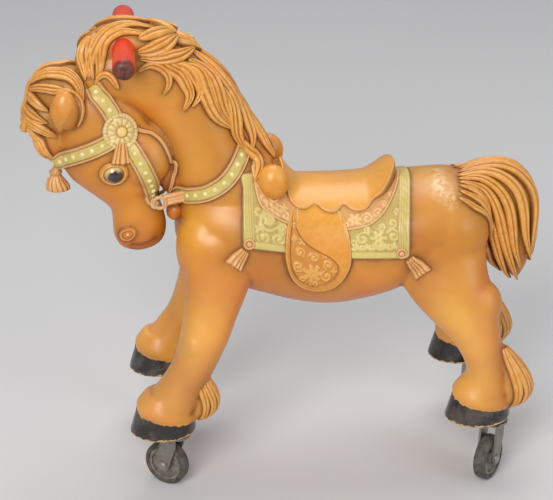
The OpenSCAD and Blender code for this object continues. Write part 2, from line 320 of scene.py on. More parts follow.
def put(mesh, name, values):
    values = np.asarray(values, dtype=np.float32)
    if values.ndim == 2:
        layer = mesh.attributes.new(name, "FLOAT_COLOR", "POINT")
        layer.data.foreach_set("color", np.concatenate([values, np.ones((len(values), 1), np.float32)],
            1).ravel())
    else:
        layer = mesh.attributes.new(name, "FLOAT", "POINT")
        layer.data.foreach_set("value", values.ravel())


def baked(obj):
    graph = bpy.context.evaluated_depsgraph_get()
    mesh = bpy.data.meshes.new_from_object(obj.evaluated_get(graph))
    obj.modifiers.clear()
    obj.data = mesh
    return obj


torso = [
    (-110, 0, 235, 16, 20, 90), (-106, 0, 234, 36, 42, 90), (-94, 0, 231, 54, 60, 90),
    (-74, 0, 228, 66, 70, 90), (-45, 0, 226, 73, 72, 90), (-15, 0, 218, 75, 73, 90),
    (20, 0, 206, 75, 72, 90), (60, 0, 202, 75, 74, 90), (100, 0, 205, 75, 72, 90),
    (135, 0, 212, 74, 69, 90), (170, 0, 223, 72, 61, 90), (204, 0, 234, 64, 50, 90),
    (226, 0, 238, 50, 40, 90), (239, 0, 240, 31, 25, 90), (244, 0, 240, 10, 8, 90)]
neck = [
    (-15, 0, 215, 60, 76, 200), (-48, 0, 263, 56, 66, 210), (-72, 0, 306, 46, 48, 213),
    (-87, 0, 351, 39, 42, 213), (-108, 0, 389, 35, 42, 225), (-140, 0, 415, 34, 42, 248),
    (-175, 0, 421, 33, 39, 275), (-204, 0, 409, 30, 35, 303)]
head = [
    (-213, 0, 412, 18, 20, 40), (-209, 0, 397, 34, 38, 30), (-201, 0, 370, 42, 50, 24),
    (-193, 0, 342, 46, 56, 20), (-185, 0, 316, 43, 53, 20), (-173, 0, 291, 35, 41, 22),
    (-165, 0, 268, 27, 29, 22), (-160, 0, 246, 27, 30, 14), (-158, 0, 227, 28, 31, 10),
    (-156, 0, 212, 23, 25, 8), (-155, 0, 204, 10, 12, 8)]
crest = [
    (-10, 0, 308, 14, 14, 210), (-34, 0, 335, 20, 18, 212), (-50, 0, 368, 22, 16, 215),
    (-68, 0, 399, 24, 17, 222), (-92, 0, 425, 25, 18, 232), (-120, 0, 445, 26, 19, 245),
    (-150, 0, 458, 27, 20, 262), (-180, 0, 457, 26, 21, 290), (-204, 0, 443, 22, 19, 305),
    (-216, 0, 429, 10, 9, 310)]
tail = [
    (212, 0, 268, 16, 18, 90), (235, 0, 272, 20, 21, 75), (256, 0, 265, 24, 29, 52),
    (268, 0, 244, 25, 33, 28), (270, 0, 218, 24, 32, 8), (270, 0, 191, 21, 31, -5),
    (271, 0, 171, 18, 26, -12), (275, 0, 158, 13, 17, -20), (280, 0, 148, 6, 8, -22),
    (283, 0, 143, 2, 3, -22)]
fore_leg = [
    (-66, -34, 262, 8, 22, 0), (-66, -45, 240, 22, 42, 0), (-68, -50, 205, 27, 41, -4),
    (-72, -54, 180, 29, 37, -12), (-80, -60, 150, 29, 32, -18), (-87, -66, 125, 29, 29, -20),
    (-96, -71, 100, 26, 26, -24), (-107, -74, 75, 25, 24, -28), (-120, -76, 53, 27, 26, -20),
    (-130, -76, 39, 29, 30, -8), (-135, -76, 30, 29, 31, 0), (-138, -76, 25, 27, 30, 0)]
hind_leg = [
    (182, -26, 258, 8, 26, 0), (181, -38, 232, 28, 50, 0), (186, -42, 197, 33, 54, 10),
    (195, -50, 168, 35, 48, 18), (210, -58, 141, 32, 40, 24), (224, -65, 115, 29, 31, 22),
    (233, -71, 90, 26, 25, 14), (239, -74, 66, 25, 23, 2), (238, -76, 51, 26, 25, -3),
    (234, -76, 39, 29, 30, 0), (232, -76, 30, 29, 31, 0), (231, -76, 25, 27, 30, 0)]


def hoof(x, side):
    rows = [(0, 38.5, 32, 0), (1.2, 38.8, 32.2, 0), (9, 37.4, 31.2, 1), (18, 35.8, 30.2, 2),
        (27, 34.0, 29.0, 3), (30, 31, 27, 3)]
    turn = np.linspace(0, 2 * math.pi, 64, endpoint=False)
    rings = [np.stack([(x - ahead_of_frame + shift + a * np.cos(turn)) * 0.001,
        (side * hoof_out + b * np.sin(turn)) * 0.001, np.full(64, (z + sole_height) * 0.001)], 1)
             for z, a, b, shift in rows]
    faces = [(i * 64 + j, i * 64 + (j + 1) % 64, (i + 1) * 64 + (j + 1) % 64, (i + 1) * 64 + j) for i
        in range(len(rows) - 1) for j in range(64)]
    faces += [tuple(range(63, -1, -1)), tuple((len(rows) - 1) * 64 + j for j in range(64))]
    return np.concatenate(rings), faces


parts = [loft(torso), loft(neck), loft(head), loft(crest), loft(tail)]
for legs in (fore_leg, hind_leg):
    parts += [loft(legs), loft(mirrored(legs))]
for x in (fore_hoof, hind_hoof):
    for side in (-1, 1):
        parts.append(hoof(x, side))
for centre, radii in (
        ((-246, 0, 399), (29, 29, 30)), ((-230, 0, 404), (26, 30, 26)), ((-256, 0, 372), (27, 29, 26)),
        ((-250, 0, 346), (20, 25, 24)),
        ((-243, 0, 325), (13, 20, 16)), ((-119, 0, 296), (17, 17, 26)), ((-110, 0, 318), (20, 20, 22))):
    parts.append(ball(centre, radii))
for side in (-1, 1):
    for centre, radii in (
            ((-152, side * 15, 326), (34, 32, 38)), ((-158, side * 10, 298), (27, 24, 26)),
            ((-171, side * 13, 229), (16, 17, 20)),
            ((-232, side * 40, 392), (15, 13, 22)), ((-84, side * 33, 214), (34, 37, 50)),
            ((198, side * 33, 222), (46, 38, 46)),
            ((232, side * 61, 141), (26, 26, 30)), ((-99, side * 77, 112), (17, 20, 24)),
            ((-88, side * 60, 142), (22, 28, 30)),

            ((-184, side * 30, 316), (20, 14, 17))):
        parts.append(ball(centre, radii))
pillow = [(3, 22, 24, 26, -12), (3, 23.5, 29.5, 31.5, -12), (3, 27, 31.8, 34.0, -12),
    (3.5, 32, 31.4, 33.6, -12), (4.5, 39, 28.5, 30, -12), (6, 48, 24, 25, -12)]
feather = [(24, 92, 5, 5), (27, 82, 10, 10), (33, 67, 15, 15), (38, 51, 18.5, 19), (40, 37, 19.5, 19.5),
    (38, 24, 16, 16), (33, 15, 9, 9)]
for x, plump in ((fore_hoof, 0.80), (hind_hoof, 1.0)):
    for side in (-1, 1):
        parts.append(loft([(x + dx, side * hoof_out, z, w, d, tilt) for dx, z, w, d, tilt in pillow]))
        parts.append(loft([(x + 4 + dx * (1.0 if x > 0 else 1.15), side * hoof_out, z, w * plump,
            d * plump, 0) for dx, z, d, w in feather], 32))
body = make("moulded_body", *join(parts), tan_plastic)
cell = 0.0023
shrink = body.modifiers.new("one skin", "REMESH")
shrink.mode = "VOXEL"
shrink.voxel_size = cell
shrink.use_smooth_shade = True
fillets = body.modifiers.new("soft fillets", "SMOOTH")
fillets.factor = 0.5
fillets.iterations = 7
baked(body)
count = len(body.data.vertices)
skin = np.empty(count * 3)
body.data.vertices.foreach_get("co", skin)
skin = skin.reshape(-1, 3)
normals = np.empty(count * 3)
body.data.vertices.foreach_get("normal", normals)
normals = normals.reshape(-1, 3)
tree = BVHTree.FromPolygons([Vector(v) for v in skin], [tuple(p.vertices) for p in body.data.polygons])


def nearest(point):
    hit, normal, _, _ = tree.find_nearest(Vector(point))
    return np.array(hit), np.array(normal)


def smooth_rows(rows, times=3):
    rows = np.array(rows)
    for _ in range(times):
        rows[1:-1] = (rows[:-2] + 2 * rows[1:-1] + rows[2:]) / 4
    return rows


def unit(v):
    return v / np.maximum(np.linalg.norm(v, axis=-1, keepdims=True), 1e-12)


def mirror_part(verts, faces):
    return verts * np.array([1, -1, 1]), [tuple(reversed(f)) for f in faces]


glaze_and_shade_lines = []

# ---------------------------------------------------------------------------
# Carved hair. Forelock, mane, tail and the tufts behind the fetlocks are
# raised locks of the same moulding, each combed with deep parallel grooves
# that hold the brown glaze. Near and far sides come from mirrored mould halves.


def lock(points, width, thick, strands=4, lift=(0.0, 0.0), flare=False, tip=0.12, samples=34, snap=True):
    path = spline([(p[0], p[1], p[2]) for p in points], 8) * 0.001
    length = np.concatenate([[0], np.cumsum(np.linalg.norm(np.diff(path, axis=0), axis=1))])
    even = np.linspace(0, length[-1], samples)
    path = np.stack([np.interp(even, length, path[:, k]) for k in range(3)], 1)
    found = [nearest(p) for p in path]
    out = unit(smooth_rows([f[1] for f in found], 5))
    if snap:
        path = smooth_rows([f[0] for f in found], 2)
    t = np.linspace(0, 1, samples)
    path = path + out * (lift[0] + (lift[1] - lift[0]) * t ** 1.6)[:, None] * 0.001
    along = unit(np.gradient(path, axis=0))
    across = unit(np.cross(along, out))
    out = unit(np.cross(across, along))
    if flare:
        swell = 0.45 + 0.55 * t ** 0.8
        depth = 0.8 + 0.2 * t
    else:
        swell = np.clip(tip + (1 - tip) * np.minimum(np.sin(np.clip(t / 0.5, 0, 1) * math.pi / 2) ** 0.55,
            (1 - np.clip((t - 0.45) / 0.55, 0, 1) ** 2.1)), tip, 1)
        depth = np.clip(swell, 0.3, 1)
    strands = max(strands - 1, 2)
    u = np.linspace(-1, 1, strands * 10 + 1)
    turned = (width * 7.3 + path[0, 0] * 900) % 6.28
    warped = u + 0.16 * np.sin(2.2 * u + turned) * (1 - u * u)
    ridge = np.abs(np.sin(math.pi * strands * (warped + 1) / 2)) ** 0.8
    dome = np.sqrt(np.clip(1 - np.abs(u) ** 2.3, 0, 1))
    profile = dome * (0.50 + 0.50 * ridge)
    n = len(u)
    verts, groove = [], []
    for i in range(samples):
        half = swell[i] * width * 0.0005
        high = depth[i] * thick * 0.001
        edge = 1 if 0 < i < samples - 1 else 0.35
        upper = path[i] + np.outer(u * half, across[i]) + np.outer(profile * high * edge, out[i])
        lower = path[i] + np.outer(u[::-1][1:-1:3] * half * 0.9, across[i]) - out[i] * (0.6 * high + 0.0015)
        verts.append(np.concatenate([upper, lower]))
        dark = np.clip(1.0 - ridge * 1.5, 0, 1) * 0.9 + 0.8 * np.clip((np.abs(u) - 0.84) / 0.16, 0, 1)
        groove.append(np.concatenate([dark, np.ones(len(lower))]))
    ring = len(verts[0])
    faces = []
    for i in range(samples - 1):
        for j in range(ring):
            k = (j + 1) % ring
            faces.append((i * ring + j, (i + 1) * ring + j, (i + 1) * ring + k, i * ring + k))
    base = samples * ring
    verts = np.concatenate(verts + [path[:1], path[-1:]])
    faces += [(base, j, (j + 1) % ring) for j in range(ring)]
    faces += [(base + 1, (samples - 1) * ring + (j + 1) % ring, (samples - 1) * ring + j) for j
        in range(ring)]
    glaze_and_shade_lines.append(np.concatenate([path + across * (swell * width * 0.0005)[:, None], path - across
        * (swell * width * 0.0005)[:, None]]))
    return verts, faces, np.concatenate(groove + [np.array([0.5, 0.5])])


def hair(name, locks, colour, both=True):
    pieces, dark = [], []
    for item in locks:
        v, f, g = item
        pieces.append((v, f))
        dark.append(g)
        if both:
            pieces.append(mirror_part(v, f))
            dark.append(g)
    verts, faces = join(pieces)
    obj = make(name, verts, faces, tan_plastic)
    dark = np.concatenate(dark)
    put(obj.data, "groove", np.clip(dark, 0, 1))
    put(obj.data, "paint", np.tile(np.array(colour), (len(verts), 1)))
    put(obj.data, "rubbed", np.clip(0.55 - dark, 0, 1))
    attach(obj, "body")
    return obj


mane = [
    lock([(-212, -20, 500), (-214, -24, 515), (-207, -22, 535), (-190, -14, 552), (-165, -8, 557),
    (-145, -10, 553)], 17, 6, 4, (0, 3)),
    lock([(-200, -28, 508), (-199, -26, 525), (-193, -22, 543), (-176, -18, 551), (-158, -20, 551),
    (-148, -20, 545)], 12, 5, 3, (1, 2)),
    lock([(-214, -8, 549), (-220, -13, 533), (-221, -17, 517), (-217, -26, 500)], 13, 5, 3, (0, 1)),
    lock([(-206, -8, 551), (-212, -20, 534), (-213, -25, 518), (-209, -29, 502)], 12, 5, 3, (0, 1)),
    lock([(-196, -20, 545), (-202, -26, 529), (-203, -28, 512), (-206, -29, 502)], 11, 4, 3, (0, 1)),
    lock([(-160, -27, 532), (-144, -27, 534), (-128, -22, 537), (-114, -12, 545)], 20, 8, 4, (2, 9)),
    lock([(-158, -24, 546), (-142, -18, 549), (-126, -8, 549), (-114, 0, 547)], 18, 7, 3, (0, 6)),
    lock([(-158, -28, 524), (-136, -28, 525), (-112, -24, 525), (-96, -14, 530)], 18, 8, 4, (2, 8)),
    lock([(-125, -12, 543), (-108, -6, 536), (-95, 0, 530), (-88, 0, 523)], 18, 7, 3, (0, 5)),
    lock([(-160, -31, 510), (-149, -28, 515), (-138, -28, 513), (-129, -29, 505), (-127, -32, 494),
    (-134, -35, 483)], 11, 6, 3, (2, 3)),
    lock([(-182, -33, 491), (-188, -31, 503), (-195, -30, 508), (-203, -29, 504), (-207, -31, 496)], 9, 5,
    3, (1, 2)),
    lock([(-152, -27, 521), (-132, -27, 519), (-119, -26, 508), (-110, -28, 492), (-105, -31, 479),
    (-112, -36, 464)], 18, 8, 4, (2, 5)),
    lock([(-130, -27, 519), (-109, -26, 513), (-97, -27, 498), (-93, -28, 480), (-103, -34, 467)], 15, 7,
    3, (1, 4)),
    lock([(-116, -27, 516), (-96, -25, 507), (-88, -26, 489), (-84, -28, 466), (-73, -30, 448),
    (-56, -24, 435)], 19, 8, 4, (2, 4)),
    lock([(-105, -22, 520), (-84, -20, 501), (-72, -22, 476), (-63, -24, 452), (-52, -24, 437)], 17, 7, 4,
    (1, 4)),
    lock([(-100, -8, 526), (-79, -10, 508), (-64, -12, 484), (-52, -12, 462), (-48, -16, 447)], 18, 6, 4,
    (0, 4)),
    lock([(-70, -18, 487), (-60, -19, 467), (-54, -22, 446), (-51, -23, 425), (-41, -21, 404)], 17, 7, 4,
    (1, 4)),
    lock([(-64, -8, 484), (-50, -9, 458), (-41, -14, 438), (-35, -17, 422), (-36, -20, 406)], 16, 6, 3,
    (0, 3)),
    lock([(-50, -20, 424), (-42, -20, 410), (-32, -20, 396), (-31, -28, 384), (-37, -40, 374)], 15, 6, 3,
    (1, 3)),
    lock([(-49, -5, 458), (-36, -5, 439), (-28, -7, 422), (-20, -8, 404), (-12, -8, 390)], 17, 6, 4, (0, 2)),
    lock([(-75, 0, 500), (-58, -2, 476), (-44, -3, 450), (-32, -3, 428), (-22, -3, 408)], 15, 5, 3, (0, 2)),
]
hair("mane_locks", mane, GOLD)

forelock = [
    lock([(-284, -4, 492), (-268, -10, 504), (-250, -14, 508), (-235, -18, 502), (-226, -24, 490),
    (-223, -32, 474)], 19, 6, 5, (0, 1)),
    lock([(-284, -8, 484), (-268, -22, 491), (-250, -30, 490), (-238, -36, 482), (-229, -42, 468),
    (-230, -46, 454)], 13, 6, 4, (1, 2)),
    lock([(-291, -3, 478), (-282, -18, 478), (-271, -26, 472), (-261, -30, 466)], 15, 6, 4, (0, 3)),
    lock([(-292, -4, 466), (-286, -17, 462), (-276, -25, 457), (-263, -28, 452)], 15, 6, 4, (0, 3)),
    lock([(-290, -6, 455), (-280, -22, 450), (-267, -26, 444), (-254, -24, 432)], 15, 6, 4, (0, 2)),
    lock([(-282, -12, 452), (-286, -12, 444), (-290, -8, 438), (-297, -3, 436)], 12, 7, 3, (0, 5)),
    lock([(-284, -10, 446), (-279, -18, 434), (-270, -20, 420), (-260, -20, 404)], 16, 6, 4, (0, 2)),
    lock([(-274, 0, 503), (-288, 0, 488), (-293, 0, 470), (-291, 0, 452), (-284, 0, 438)], 13, 5, 3, (0, 1)),
    lock([(-286, -3, 442), (-278, -4, 428), (-268, -6, 412), (-262, -6, 400)], 14, 5, 3, (0, 2)),
]
hair("forelock", forelock, GOLD)

tail_locks = [
    lock([(203, -6, 361), (226, -7, 369), (250, -9, 372), (272, -10, 360), (288, -10, 336),
    (292, -12, 305), (289, -13, 276), (284, -10, 250)], 15, 6, 3, (1, 5)),
    lock([(201, -12, 359), (228, -14, 366), (252, -19, 360), (270, -22, 341), (277, -24, 314),
    (280, -22, 285), (286, -12, 250)], 15, 6, 3, (1, 7)),
    lock([(201, -17, 357), (224, -20, 361), (245, -25, 350), (258, -28, 330), (264, -28, 304),
    (268, -24, 272), (276, -14, 240)], 14, 6, 3, (1, 6)),
    lock([(201, -22, 354), (220, -24, 354), (236, -28, 341), (247, -28, 318), (254, -27, 290),
    (262, -22, 260), (276, -8, 222)], 14, 6, 3, (1, 6)),
    lock([(200, -27, 350), (214, -28, 347), (227, -27, 334), (236, -24, 310), (244, -23, 284),
    (253, -19, 256), (268, -8, 223)], 14, 6, 3, (1, 5)),
    lock([(199, -33, 346), (210, -34, 341), (219, -28, 328), (226, -22, 304), (231, -20, 280),
    (239, -16, 256), (256, -8, 232)], 14, 6, 3, (1, 4)),
    lock([(197, -40, 342), (208, -41, 335), (216, -38, 322), (219, -34, 308), (216, -34, 298)], 9, 4, 2,
    (0, 2)),
    lock([(205, 0, 362), (230, 0, 372), (256, 0, 370), (278, 0, 354), (291, 0, 328), (294, 0, 300),
    (290, 0, 272), (284, 0, 250)], 13, 5, 3, (1, 4)),
]
hair("tail_locks", tail_locks, GOLD)

tufts = []
for x, plump in ((-149, 0.80), (222, 1.0)):
    for turn in (-86, -52, -18, 18, 52, 86):
        a = math.radians(turn)
        rows = []
        for dx, z, d, w in feather:
            middle = x + 4 + dx * (1.0 if x > 0 else 1.15)
            rows.append((middle + d * plump * math.cos(a), -hoof_out + w * plump * math.sin(a),
                z + sole_height))
        tufts.append(lock(rows, 13 * plump, 3.6, 3, (-0.8, 0.4), tip=0.35, snap=False))
hair("fetlock_tufts", tufts, GOLD)

# ---------------------------------------------------------------------------
# Saddle and blanket. All of it is low relief in the same mould: a flat blanket
# with ribbed borders, two skirts with leaf carving, a smooth scalloped seat
# with a raised cantle and the rounded side flap. Each is laid round the barrel
# by its distance along the back and its angle down from the spine.
BARREL = 75.0


def girth(outline):
    return np.array([(x, BARREL * math.radians(a)) for x, a in outline])


def closed_spline(points, per_span=6):
    p = np.array(points, float)
    n = len(p)
    out = []
    for i in range(n):
        a, b, c, d = p[i - 1], p[i], p[(i + 1) % n], p[(i + 2) % n]
        out += [between(a, b, c, d, k / per_span) for k in range(per_span)]
    return np.array(out)


def inside_by(along_back, down_side, ring):
    best = np.full(along_back.shape, 1e9)
    odd = np.zeros(along_back.shape, bool)
    n = len(ring)
    for i in range(n):
        ax, aw = ring[i]
        bx, bw = ring[(i + 1) % n]
        ex, ew = bx - ax, bw - aw
        t = np.clip(((along_back - ax) * ex + (down_side - aw) * ew) / max(ex * ex + ew * ew, 1e-9), 0, 1)
        best = np.minimum(best, (along_back - ax - t * ex) ** 2 + (down_side - aw - t * ew) ** 2)
        if aw != bw:
            cross = (((aw > down_side) != (bw > down_side)) & (along_back < (bx - ax) * (down_side - aw)
                / (bw - aw) + ax))
            odd ^= cross
    return np.where(odd, 1, -1) * np.sqrt(best)


def barrel_radius(xs, ws):
    grid = np.zeros((len(xs), len(ws)))
    for j, w in enumerate(ws):
        a = w / BARREL
        way = np.array([0, -math.sin(a), math.cos(a)])
        for i, x in enumerate(xs):
            start = np.array([x * 0.001, 0, 0.285]) + way * 0.13
            hit = tree.ray_cast(Vector(start), Vector(-way))[0]
            grid[i, j] = 75.0 if hit is None else np.dot(np.array(hit) - np.array([0, 0, 0.285]), way) * 1000
    for _ in range(5):
        grid[1:-1] = (grid[:-2] + 2 * grid[1:-1] + grid[2:]) / 4
        grid[:, 1:-1] = (grid[:, :-2] + 2 * grid[:, 1:-1] + grid[:, 2:]) / 4
    return grid


def lay(name, outline, surface, step=1.3, over_top=False, material=painted_relief):
    xs = np.arange(outline[:, 0].min() - 3, outline[:, 0].max() + 3, step)
    low = 0.0 if over_top else outline[:, 1].min() - 3
    ws = np.arange(low, outline[:, 1].max() + 3, step)
    base = barrel_radius(xs, ws)
    along_back, down_side = np.meshgrid(xs, ws, indexing="ij")
    inset = inside_by(along_back, down_side, outline)
    height, paint, groove = surface(along_back, down_side, inset)
    height = np.where(inset > 0, height, inset * 0.9)
    r = base + height
    a = down_side / BARREL
    verts = np.stack([along_back * 0.001, -np.sin(a) * r * 0.001, 0.285 + np.cos(a) * r * 0.001],
        -1).reshape(-1, 3)
    m, n = along_back.shape
    keep = (inset > -2.6).astype(int)
    solid = keep[:-1, :-1] & keep[1:, :-1] & keep[1:, 1:] & keep[:-1, 1:]
    faces = [(i * n + j, i * n + j + 1, (i + 1) * n + j + 1, (i + 1) * n + j) for i,
        j in zip(*np.nonzero(solid))]
    used = np.unique(np.array(faces))
    index = np.full(m * n, -1)
    index[used] = np.arange(len(used))
    faces = [tuple(index[list(f)]) for f in faces]
    verts = verts[used]
    paint = paint.reshape(-1, 3)[used]
    groove = groove.reshape(-1)[used]
    rim = np.abs(inset.reshape(-1)[used]) < step
    glaze_and_shade_lines.append(verts[rim])
    total, fs = join([(verts, faces), mirror_part(verts, faces)])
    obj = make(name, total, [tuple(int(i) for i in f) for f in fs], material)
    put(obj.data, "paint", np.concatenate([paint, paint]))
    put(obj.data, "groove", np.clip(np.concatenate([groove, groove]), 0, 1))
    top = np.clip((0.5 - groove) * 0.4, 0, 0.2)
    put(obj.data, "rubbed", np.concatenate([top, top]))
    bm = bmesh.new()
    bm.from_mesh(obj.data)
    bmesh.ops.remove_doubles(bm, verts=bm.verts, dist=1e-5)
    bm.to_mesh(obj.data)
    bm.free()
    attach(obj, "body")
    return obj


def raised(inset, high, roll):
    return high * np.sqrt(np.clip(1 - (1 - np.clip(inset / roll, 0, 1)) ** 2, 0, 1))


def bump_at(value, centre, spread):
    return np.exp(-((value - centre) / spread) ** 2)


def blend(a, b, amount):
    amount = np.clip(amount, 0, 1)[..., None]
    return np.asarray(a) * (1 - amount) + np.asarray(b) * amount


def curl(x, w, radius, start, turns, thick, way=1):
    t = np.linspace(0, 1, 16)
    angle = math.radians(start) + way * turns * 2 * math.pi * t
    r = radius * (1 - 0.82 * t)
    return [(x + r[i] * math.cos(angle[i]), w + r[i] * math.sin(angle[i]),
        x + r[i + 1] * math.cos(angle[i + 1]), w + r[i + 1] * math.sin(angle[i + 1]),
             thick * (0.6 + 0.5 * t[i])) for i in range(15)]


def petals(x, w, radius, number, thick, start=0.0, spread=360.0):
    out = []
    for i in range(number):
        a = math.radians(start + spread * i / number)
        out.append((x + 0.35 * radius * math.cos(a), w + 0.35 * radius * math.sin(a), x + 0.82 * radius
            * math.cos(a), w + 0.82 * radius * math.sin(a), thick))
    return out


def carving(along_back, down_side, strokes):
    out = np.zeros(along_back.shape)
    for ax, aw, bx, bw, thick in strokes:
        ex, ew = bx - ax, bw - aw
        t = np.clip(((along_back - ax) * ex + (down_side - aw) * ew) / max(ex * ex + ew * ew, 1e-9), 0, 1)
        d = ((along_back - ax - t * ex) ** 2 + (down_side - aw - t * ew) ** 2) / thick ** 2
        out = np.maximum(out, np.sqrt(np.clip(1 - d, 0, 1)))
    return out


blanket_edge = closed_spline(girth([(-48, 22), (-48, 29), (-48.5, 35), (-50, 57), (-50, 66), (-49, 71.5),
    (-42, 73), (-3, 78), (35, 82.5), (71, 86), (110, 87.5), (128, 88),
                                    (136, 88), (139, 84), (140, 62), (143, 35), (146, 15), (147, 0),
    (147, -15), (60, -15), (5, -15), (0, 10), (-20, 18)]), 3)
front_field = (curl(-20, 66, 12, 40, 1.3, 2.6) + petals(-20, 66, 6, 5, 2.0) + curl(-26, 84, 8, 200, 1.1,
    2.2, -1) + curl(-10, 86, 8, 20, 1.1, 2.2))
front_field += (curl(-5, 75, 7, 90, 1.2, 2.0, -1) + petals(-32, 74, 6, 4, 1.7, 30) + curl(-14, 95, 5, 180,
    1.0, 1.7) + curl(-31, 56, 7, 300, 1.0, 1.9))
rear_field = []
for i in range(5):
    rear_field += petals(80 + 10.5 * i, 104, 9, 5, 1.7, 200, 175)
rear_field += (petals(104, 90, 9, 6, 2.5) + curl(86, 90, 8, 330, 1.2, 2.1, -1) + curl(121, 88, 8, 210, 1.2,
    2.1) + curl(120, 74, 6, 120, 1.1, 1.8, -1))
rear_field += (curl(92, 79, 5, 30, 1.1, 1.7) + curl(108, 77, 5, 160, 1.1, 1.7, -1) + curl(127, 60, 4, 80,
    1.0, 1.5) + curl(76, 96, 5, 180, 1.1, 1.6))


def blanket_surface(along_back, down_side, inset):
    rear = np.interp(down_side, [0, 20, 46, 81, 110, 116], [147, 146, 143, 140, 139, 136]) - along_back
    front = along_back + 49
    foot = np.interp(along_back, [-49, -3, 35, 71, 110, 139], [94, 102, 108, 112.6, 114.6, 115]) - down_side
    ribs = 0.55 * np.cos(2 * math.pi * front / 2.7) * ((front > 1.4) & (front < 11.5))
    ribs += 0.55 * np.cos(2 * math.pi * rear / 2.9) * ((rear > 2.0) & (rear < 12.5))
    band = (foot > 1.5) & (foot < 8)
    ribs = np.where(band, 0.35 * bump_at(foot, 4.7, 2.4), ribs)
    field = (front > 12.5) & (rear > 13.5) & (foot > 9)
    relief = carving(along_back, down_side, front_field + rear_field) * field
    wall_line = bump_at(front, 12.2, 0.7) + bump_at(rear, 13.2, 0.8) + bump_at(foot, 8.6, 0.7)
    height = (raised(inset, 1.9, 1.6) + ribs + 1.5 * relief - 0.7 * wall_line * (inset > 2) + 0.6
        * bump_at(inset, 1.6, 0.9))
    groove = (0.30 * np.clip(wall_line, 0, 1) * (inset > 2) + 0.33 * field * np.clip(1 - relief * 2.0, 0,
        1) * (np.abs(along_back - 30) > 40))
    groove += 0.35 * np.clip(-ribs * 1.8, 0, 1) + 0.85 * bump_at(inset, 0.0, 0.9)
    paint = blend(GREEN, CREAM, 0.36 * relief + 0.25 * np.clip(ribs * 2, 0, 1) + 0.25 * bump_at(inset, 1.6,
        0.9))
    return height, paint, groove


lay("saddle_blanket", blanket_edge, blanket_surface, 1.25, over_top=True)

front_skirt = closed_spline(girth([(-34, 15), (-36, 24), (-34.5, 31), (-31, 38), (-26, 42.5), (-19, 46.5),
    (-9, 51), (0, 54), (8, 55), (14, 52), (16, 38), (14, 20)]), 3)
skirt_leaves = (petals(-12, 55, 9, 6, 2.5) + curl(-23, 48, 7, 330, 1.2, 2.0, -1) + curl(-1, 61, 6, 200,
    1.1, 1.8) + curl(-27, 38, 5, 100, 1.1, 1.7) + curl(-14, 42, 5, 0, 1.1, 1.7))
skirt_leaves += petals(-2, 52, 5, 5, 1.6) + curl(3, 68, 4, 90, 1.0, 1.5)
skirt_leaves += (petals(78, 68, 8, 6, 2.3) + curl(92, 67, 7, 200, 1.2, 2.0) + curl(104, 62, 6, 320, 1.1,
    1.8, -1) + curl(69, 74, 4, 90, 1.0, 1.6) + curl(112, 51, 5, 200, 1.1, 1.6))
skirt_leaves += (curl(120, 38, 4, 100, 1.1, 1.4, -1) + petals(86, 76, 5, 5, 1.6, 20) + curl(98, 72, 4, 270,
    1.1, 1.4))


def skirt_surface(along_back, down_side, inset):
    relief = carving(along_back, down_side, skirt_leaves) * (inset > 3.4)
    height = (raised(inset, 3.5, 2.0) + 1.3 * bump_at(inset, 1.9, 1.1) + 1.5 * relief - 0.5
        * bump_at(inset, 3.6, 0.6))
    groove = (0.9 * bump_at(inset, 0.0, 0.9) + 0.55 * bump_at(inset, 3.7, 0.6) + 0.30 * (inset > 3.8)
        * np.clip(1 - relief * 2.1, 0, 1))
    paint = blend(PINK, CREAM, 0.32 * relief + 0.35 * bump_at(inset, 1.9, 1.1))
    return height, paint, groove


lay("front_skirt", front_skirt, skirt_surface, 1.0)
rear_skirt = closed_spline(girth([(58, 30), (60, 50), (63, 60), (70, 61.5), (89, 59.5), (98, 57),
    (106, 52.5), (113, 47), (119, 40), (126, 30), (131.5, 18), (134.5, 6), (135, -10), (90, -12)]), 3)
lay("rear_skirt", rear_skirt, skirt_surface, 1.0, over_top=True)

flap_edge = closed_spline(girth([(8, 37), (3, 47), (-1, 58), (-3, 70), (-3.5, 81), (-1, 92), (3, 101),
    (9, 108), (17, 113), (26, 115.7), (36, 116.7), (46, 115.5), (55, 112), (63, 106),
                                 (69, 98), (72.5, 90), (73, 80), (72, 68), (69, 56), (64, 44), (50, 36),
    (25, 34)]), 3)
carved_edge = closed_spline(girth([(9, 44), (11, 56), (16, 65), (23, 71), (31, 75.5), (40, 79.5), (48, 83),
    (54, 87), (58, 92), (57, 98), (52, 104), (43, 109), (34, 111.5), (23, 109.5),
                                   (13, 104), (6, 96), (2.5, 84), (3, 68), (6, 54)]), 3)
flap_leaves = (petals(28, 128, 11, 7, 2.9) + petals(28, 128, 4, 6, 1.2) + curl(12, 118, 7, 20, 1.3, 2.1)
    + curl(44, 132, 7, 250, 1.2, 2.1, -1) + curl(14, 102, 6, 60, 1.2, 2.0, -1))
flap_leaves += (curl(46, 118, 6, 100, 1.2, 1.9) + curl(30, 109, 6, 200, 1.2, 1.9) + curl(9, 86, 4, 90, 1.1,
    1.7) + petals(18, 90, 5, 5, 1.7) + curl(30, 141, 5, 180, 1.1, 1.7, -1))
flap_leaves += (curl(16, 133, 5, 300, 1.1, 1.6) + curl(42, 106, 4, 0, 1.1, 1.5) + curl(10, 72, 3, 90, 1.0,
    1.3) + petals(52, 126, 4, 4, 1.4))


